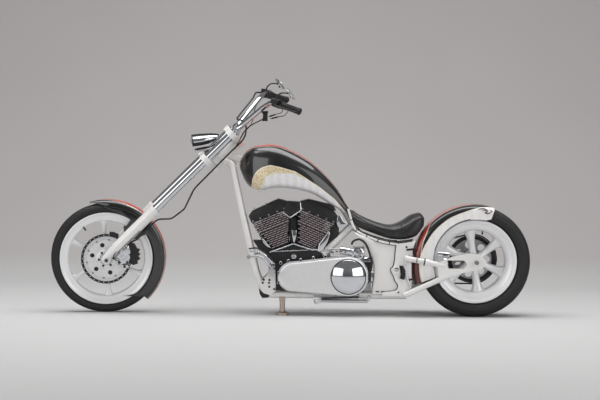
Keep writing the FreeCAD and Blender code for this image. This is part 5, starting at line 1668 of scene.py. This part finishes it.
cables = {  # points for the fork pointing straight, then the radius
    "runs": [
        ([(794, 58, 1121), (806, 74, 1168), (846, 120, 1214), (904, 186, 1246), (948, 238, 1284)], 3.0),
        ([(1000, 322, 1312), (962, 282, 1294), (926, 222, 1244), (916, 176, 1204), (892, 124, 1150),
          (838, 84, 1100)], 2.8),
        ([(784, -62, 1020), (811, -72, 1076), (842, -112, 1140), (880, -174, 1182), (940, -240, 1222)], 3.6),
        ([(973, -248, 1238), (1013, -270, 1254), (1045, -300, 1268), (1052, -336, 1296)], 2.2),
        ([(985, -252, 1226), (1030, -276, 1241), (1064, -312, 1252), (1082, -352, 1282)], 2.2)],
    "barrels": [((978, -251, 1240), (1012, -269, 1253)), ((991, -255, 1228), (1028, -275, 1240))],
    "barrelRadius": 4.6,
    "bracket": [(926, 1272), (971, 1273), (966, 1250), (968, 1212), (936, 1212), (940, 1250)],
    "bracketSides": (-262, -238),
}


def buildCables(values):
    batch = Batch()
    for line, radius in values["runs"]:
        batch.add(rod([at(*point) for point in smoothLine(line, 8)], radius * mm, 10))
    for start, stop in values["barrels"]:
        a, b = at(*start), at(*stop)
        radius = values["barrelRadius"] * mm
        batch.add(rod([a, a.lerp(b, 0.06), a.lerp(b, 0.94), b],
                      [radius * 0.6, radius, radius, radius * 0.6], 14))
    low, high = values["bracketSides"]
    batch.add(framePlate(values["bracket"], low, high, 2.5), 1)
    made = batch.piece("controlCables", "fork", [gripRubber, blackAnodised], 50, steer)


buildCables(cables)

headlampParts = {
    "place": (527, 0, 1064), "tilt": 7, "halfWide": 55, "halfTall": 33, "length": 168,
    "profile": [(0, 0.93), (0.015, 1.0), (0.2, 1.0), (0.4, 0.95), (0.6, 0.83), (0.78, 0.63), (0.9, 0.42),
                (0.97, 0.22), (1.0, 0.04)],
    "mount": [(540, 1004, 11, 30), (560, 1008, 13, 33), (600, 1016, 13, 30), (632, 1022, 11, 24),
              (648, 1026, 9, 18)],
    "stalk": [(626, 1022), (654, 1010), (690, 992)],
    "darkReflectionRibs": (-14, -7, 0, 7, 14),
    "lens": [(1.0, -1), (0.99, -4), (0.8, -8.5), (0.5, -11.5), (0.02, -12.5)],  # share of size, depth
}


def buildHeadlamp(values):
    x, y, z = values["place"]
    turn = Matrix.Translation(at(x, y, z)) @ Matrix.Rotation(-math.radians(values["tilt"]), 4, "Y")
    shell, darkReflectionBand, crest, section = [], [], [], circle(48)
    for share, size in smoothLine(values["profile"], 5):
        along = share * values["length"]
        wide, tall = values["halfWide"] * size, values["halfTall"] * size
        lift = (1 - size) * 14
        shell.append([Vector((along, wide * softened(c, 0.85), lift + tall * s)) * mm for c, s in section])
        if size > 0.5:
            darkReflectionBand.append([Vector((along + 2, (wide + 1.6) * c, lift + (tall + 1.6) * min(s, -0.3))) * mm
                         for c, s in section])
        crest.append(Vector((along, 0, lift + tall)) * mm)
    batch = Batch().add(loft(shell), 0, turn)
    # The black lower band, the black rods on the crest and the black rim round the face stand in for dark
    # reflections in the chrome: painted reflection.
    batch.add(loft(darkReflectionBand), 1, turn)
    for spread in values["darkReflectionRibs"]:
        line = [point + Vector((0, spread * mm, 0.001 - abs(spread) * 0.00006)) for point in crest[:-4]]
        batch.add(rod(line, 0.0034, 8), 1, turn)
    rim = [Vector((-1, values["halfWide"] * c, values["halfTall"] * s)) * mm for c, s in circle(72)]
    batch.add(rod(rim + rim[:1], 0.0042, 12), 1, turn)
    lens = []
    for share, depth in values["lens"]:
        wide, tall = (values["halfWide"] - 5) * share, (values["halfTall"] - 4) * share
        lens.append([Vector((depth, wide * c, tall * s)) * mm for c, s in section])
    batch.add(loft(lens), 2, turn)
    batch.add(loft([[at(px, wide * c, pz + tall * s) for c, s in section]
                    for px, pz, tall, wide in smoothLine(values["mount"], 5)]))
    batch.add(rod([at(px, 0, pz) for px, pz in smoothLine(values["stalk"], 5)], 0.012, 18))
    made = batch.piece("headlampShell", "fork", [chrome, blackAnodised, lensGlass], 40, steer)
    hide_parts("headlamp")


def clearGlass(name, tint, ripple):
    material, tree, shader, place = startMaterial(name, tint, Roughness=0.04, IOR=1.5,
                                                  Transmission_Weight=0.55)
    flutes = add(tree, "TexWave", {"Vector": place, "Scale": 1 / (ripple * mm)}, bands_direction="Y")
    feed(tree, shader, {
        "Normal": add(tree, "Bump", {"Height": flutes, "Distance": 0.5 * mm, "Strength": 0.6})})
    return material


# Pressed lens glass: shallow flutes on the back break the lamp's face into upright bands.
lensGlass = clearGlass("flutedGlass", "#D8DEE0", 40)
buildHeadlamp(headlampParts)
print("stage: controls and lamp")


# small painted scroll on the rear fender's tail, a plain made-up curl on each side

fenderScroll = {
    "strokes": [  # along and above the rear axle, then the half width in the middle
        ([(6, 318), (26, 327), (52, 326), (78, 314)], 2.6),
        ([(30, 312), (48, 318), (66, 311), (60, 302), (48, 304)], 2.2),
        ([(52, 300), (70, 296), (88, 304), (99, 314)], 2.4),
        ([(82, 322), (92, 318), (100, 308)], 1.8)],
    "radius": 352.5, "half": 134, "skin": 3.6,
    "shares": [(1, 0.5), (1.6, 0.54), (6, 0.76), (16, 0.92), (33, 1.0), (60, 1.0)],
}


def buildFenderScroll(values):
    batch = Batch()
    for index, (line, wide) in enumerate(values["strokes"]):
        points = smoothLine(line, 8)
        for side in (left, right):
            path = []
            for x, z in points:
                drop = values["radius"] - math.hypot(x, z)
                out = values["half"] * tableValue(values["shares"], drop) + values["skin"]
                path.append(rearAxle + Vector((x, side * out, z)) * mm)
            count = len(path) - 1
            sizes = [(0.5 + wide * math.sin(math.pi * step / count) ** 0.7) * mm for step in range(count + 1)]
            batch.add(rod(path, sizes, 10), index % 2)
    made = batch.piece("fenderScroll", "frame", [scrollRed, glossBlack], 60)


# Sign-painter's enamel, laid on by brush and cleared over: deep brownish red.
scrollRed = enamel("scrollRed", "#5A241B", "#47190F", 0.3, 0.05)
buildFenderScroll(fenderScroll)
print("stage: scroll")
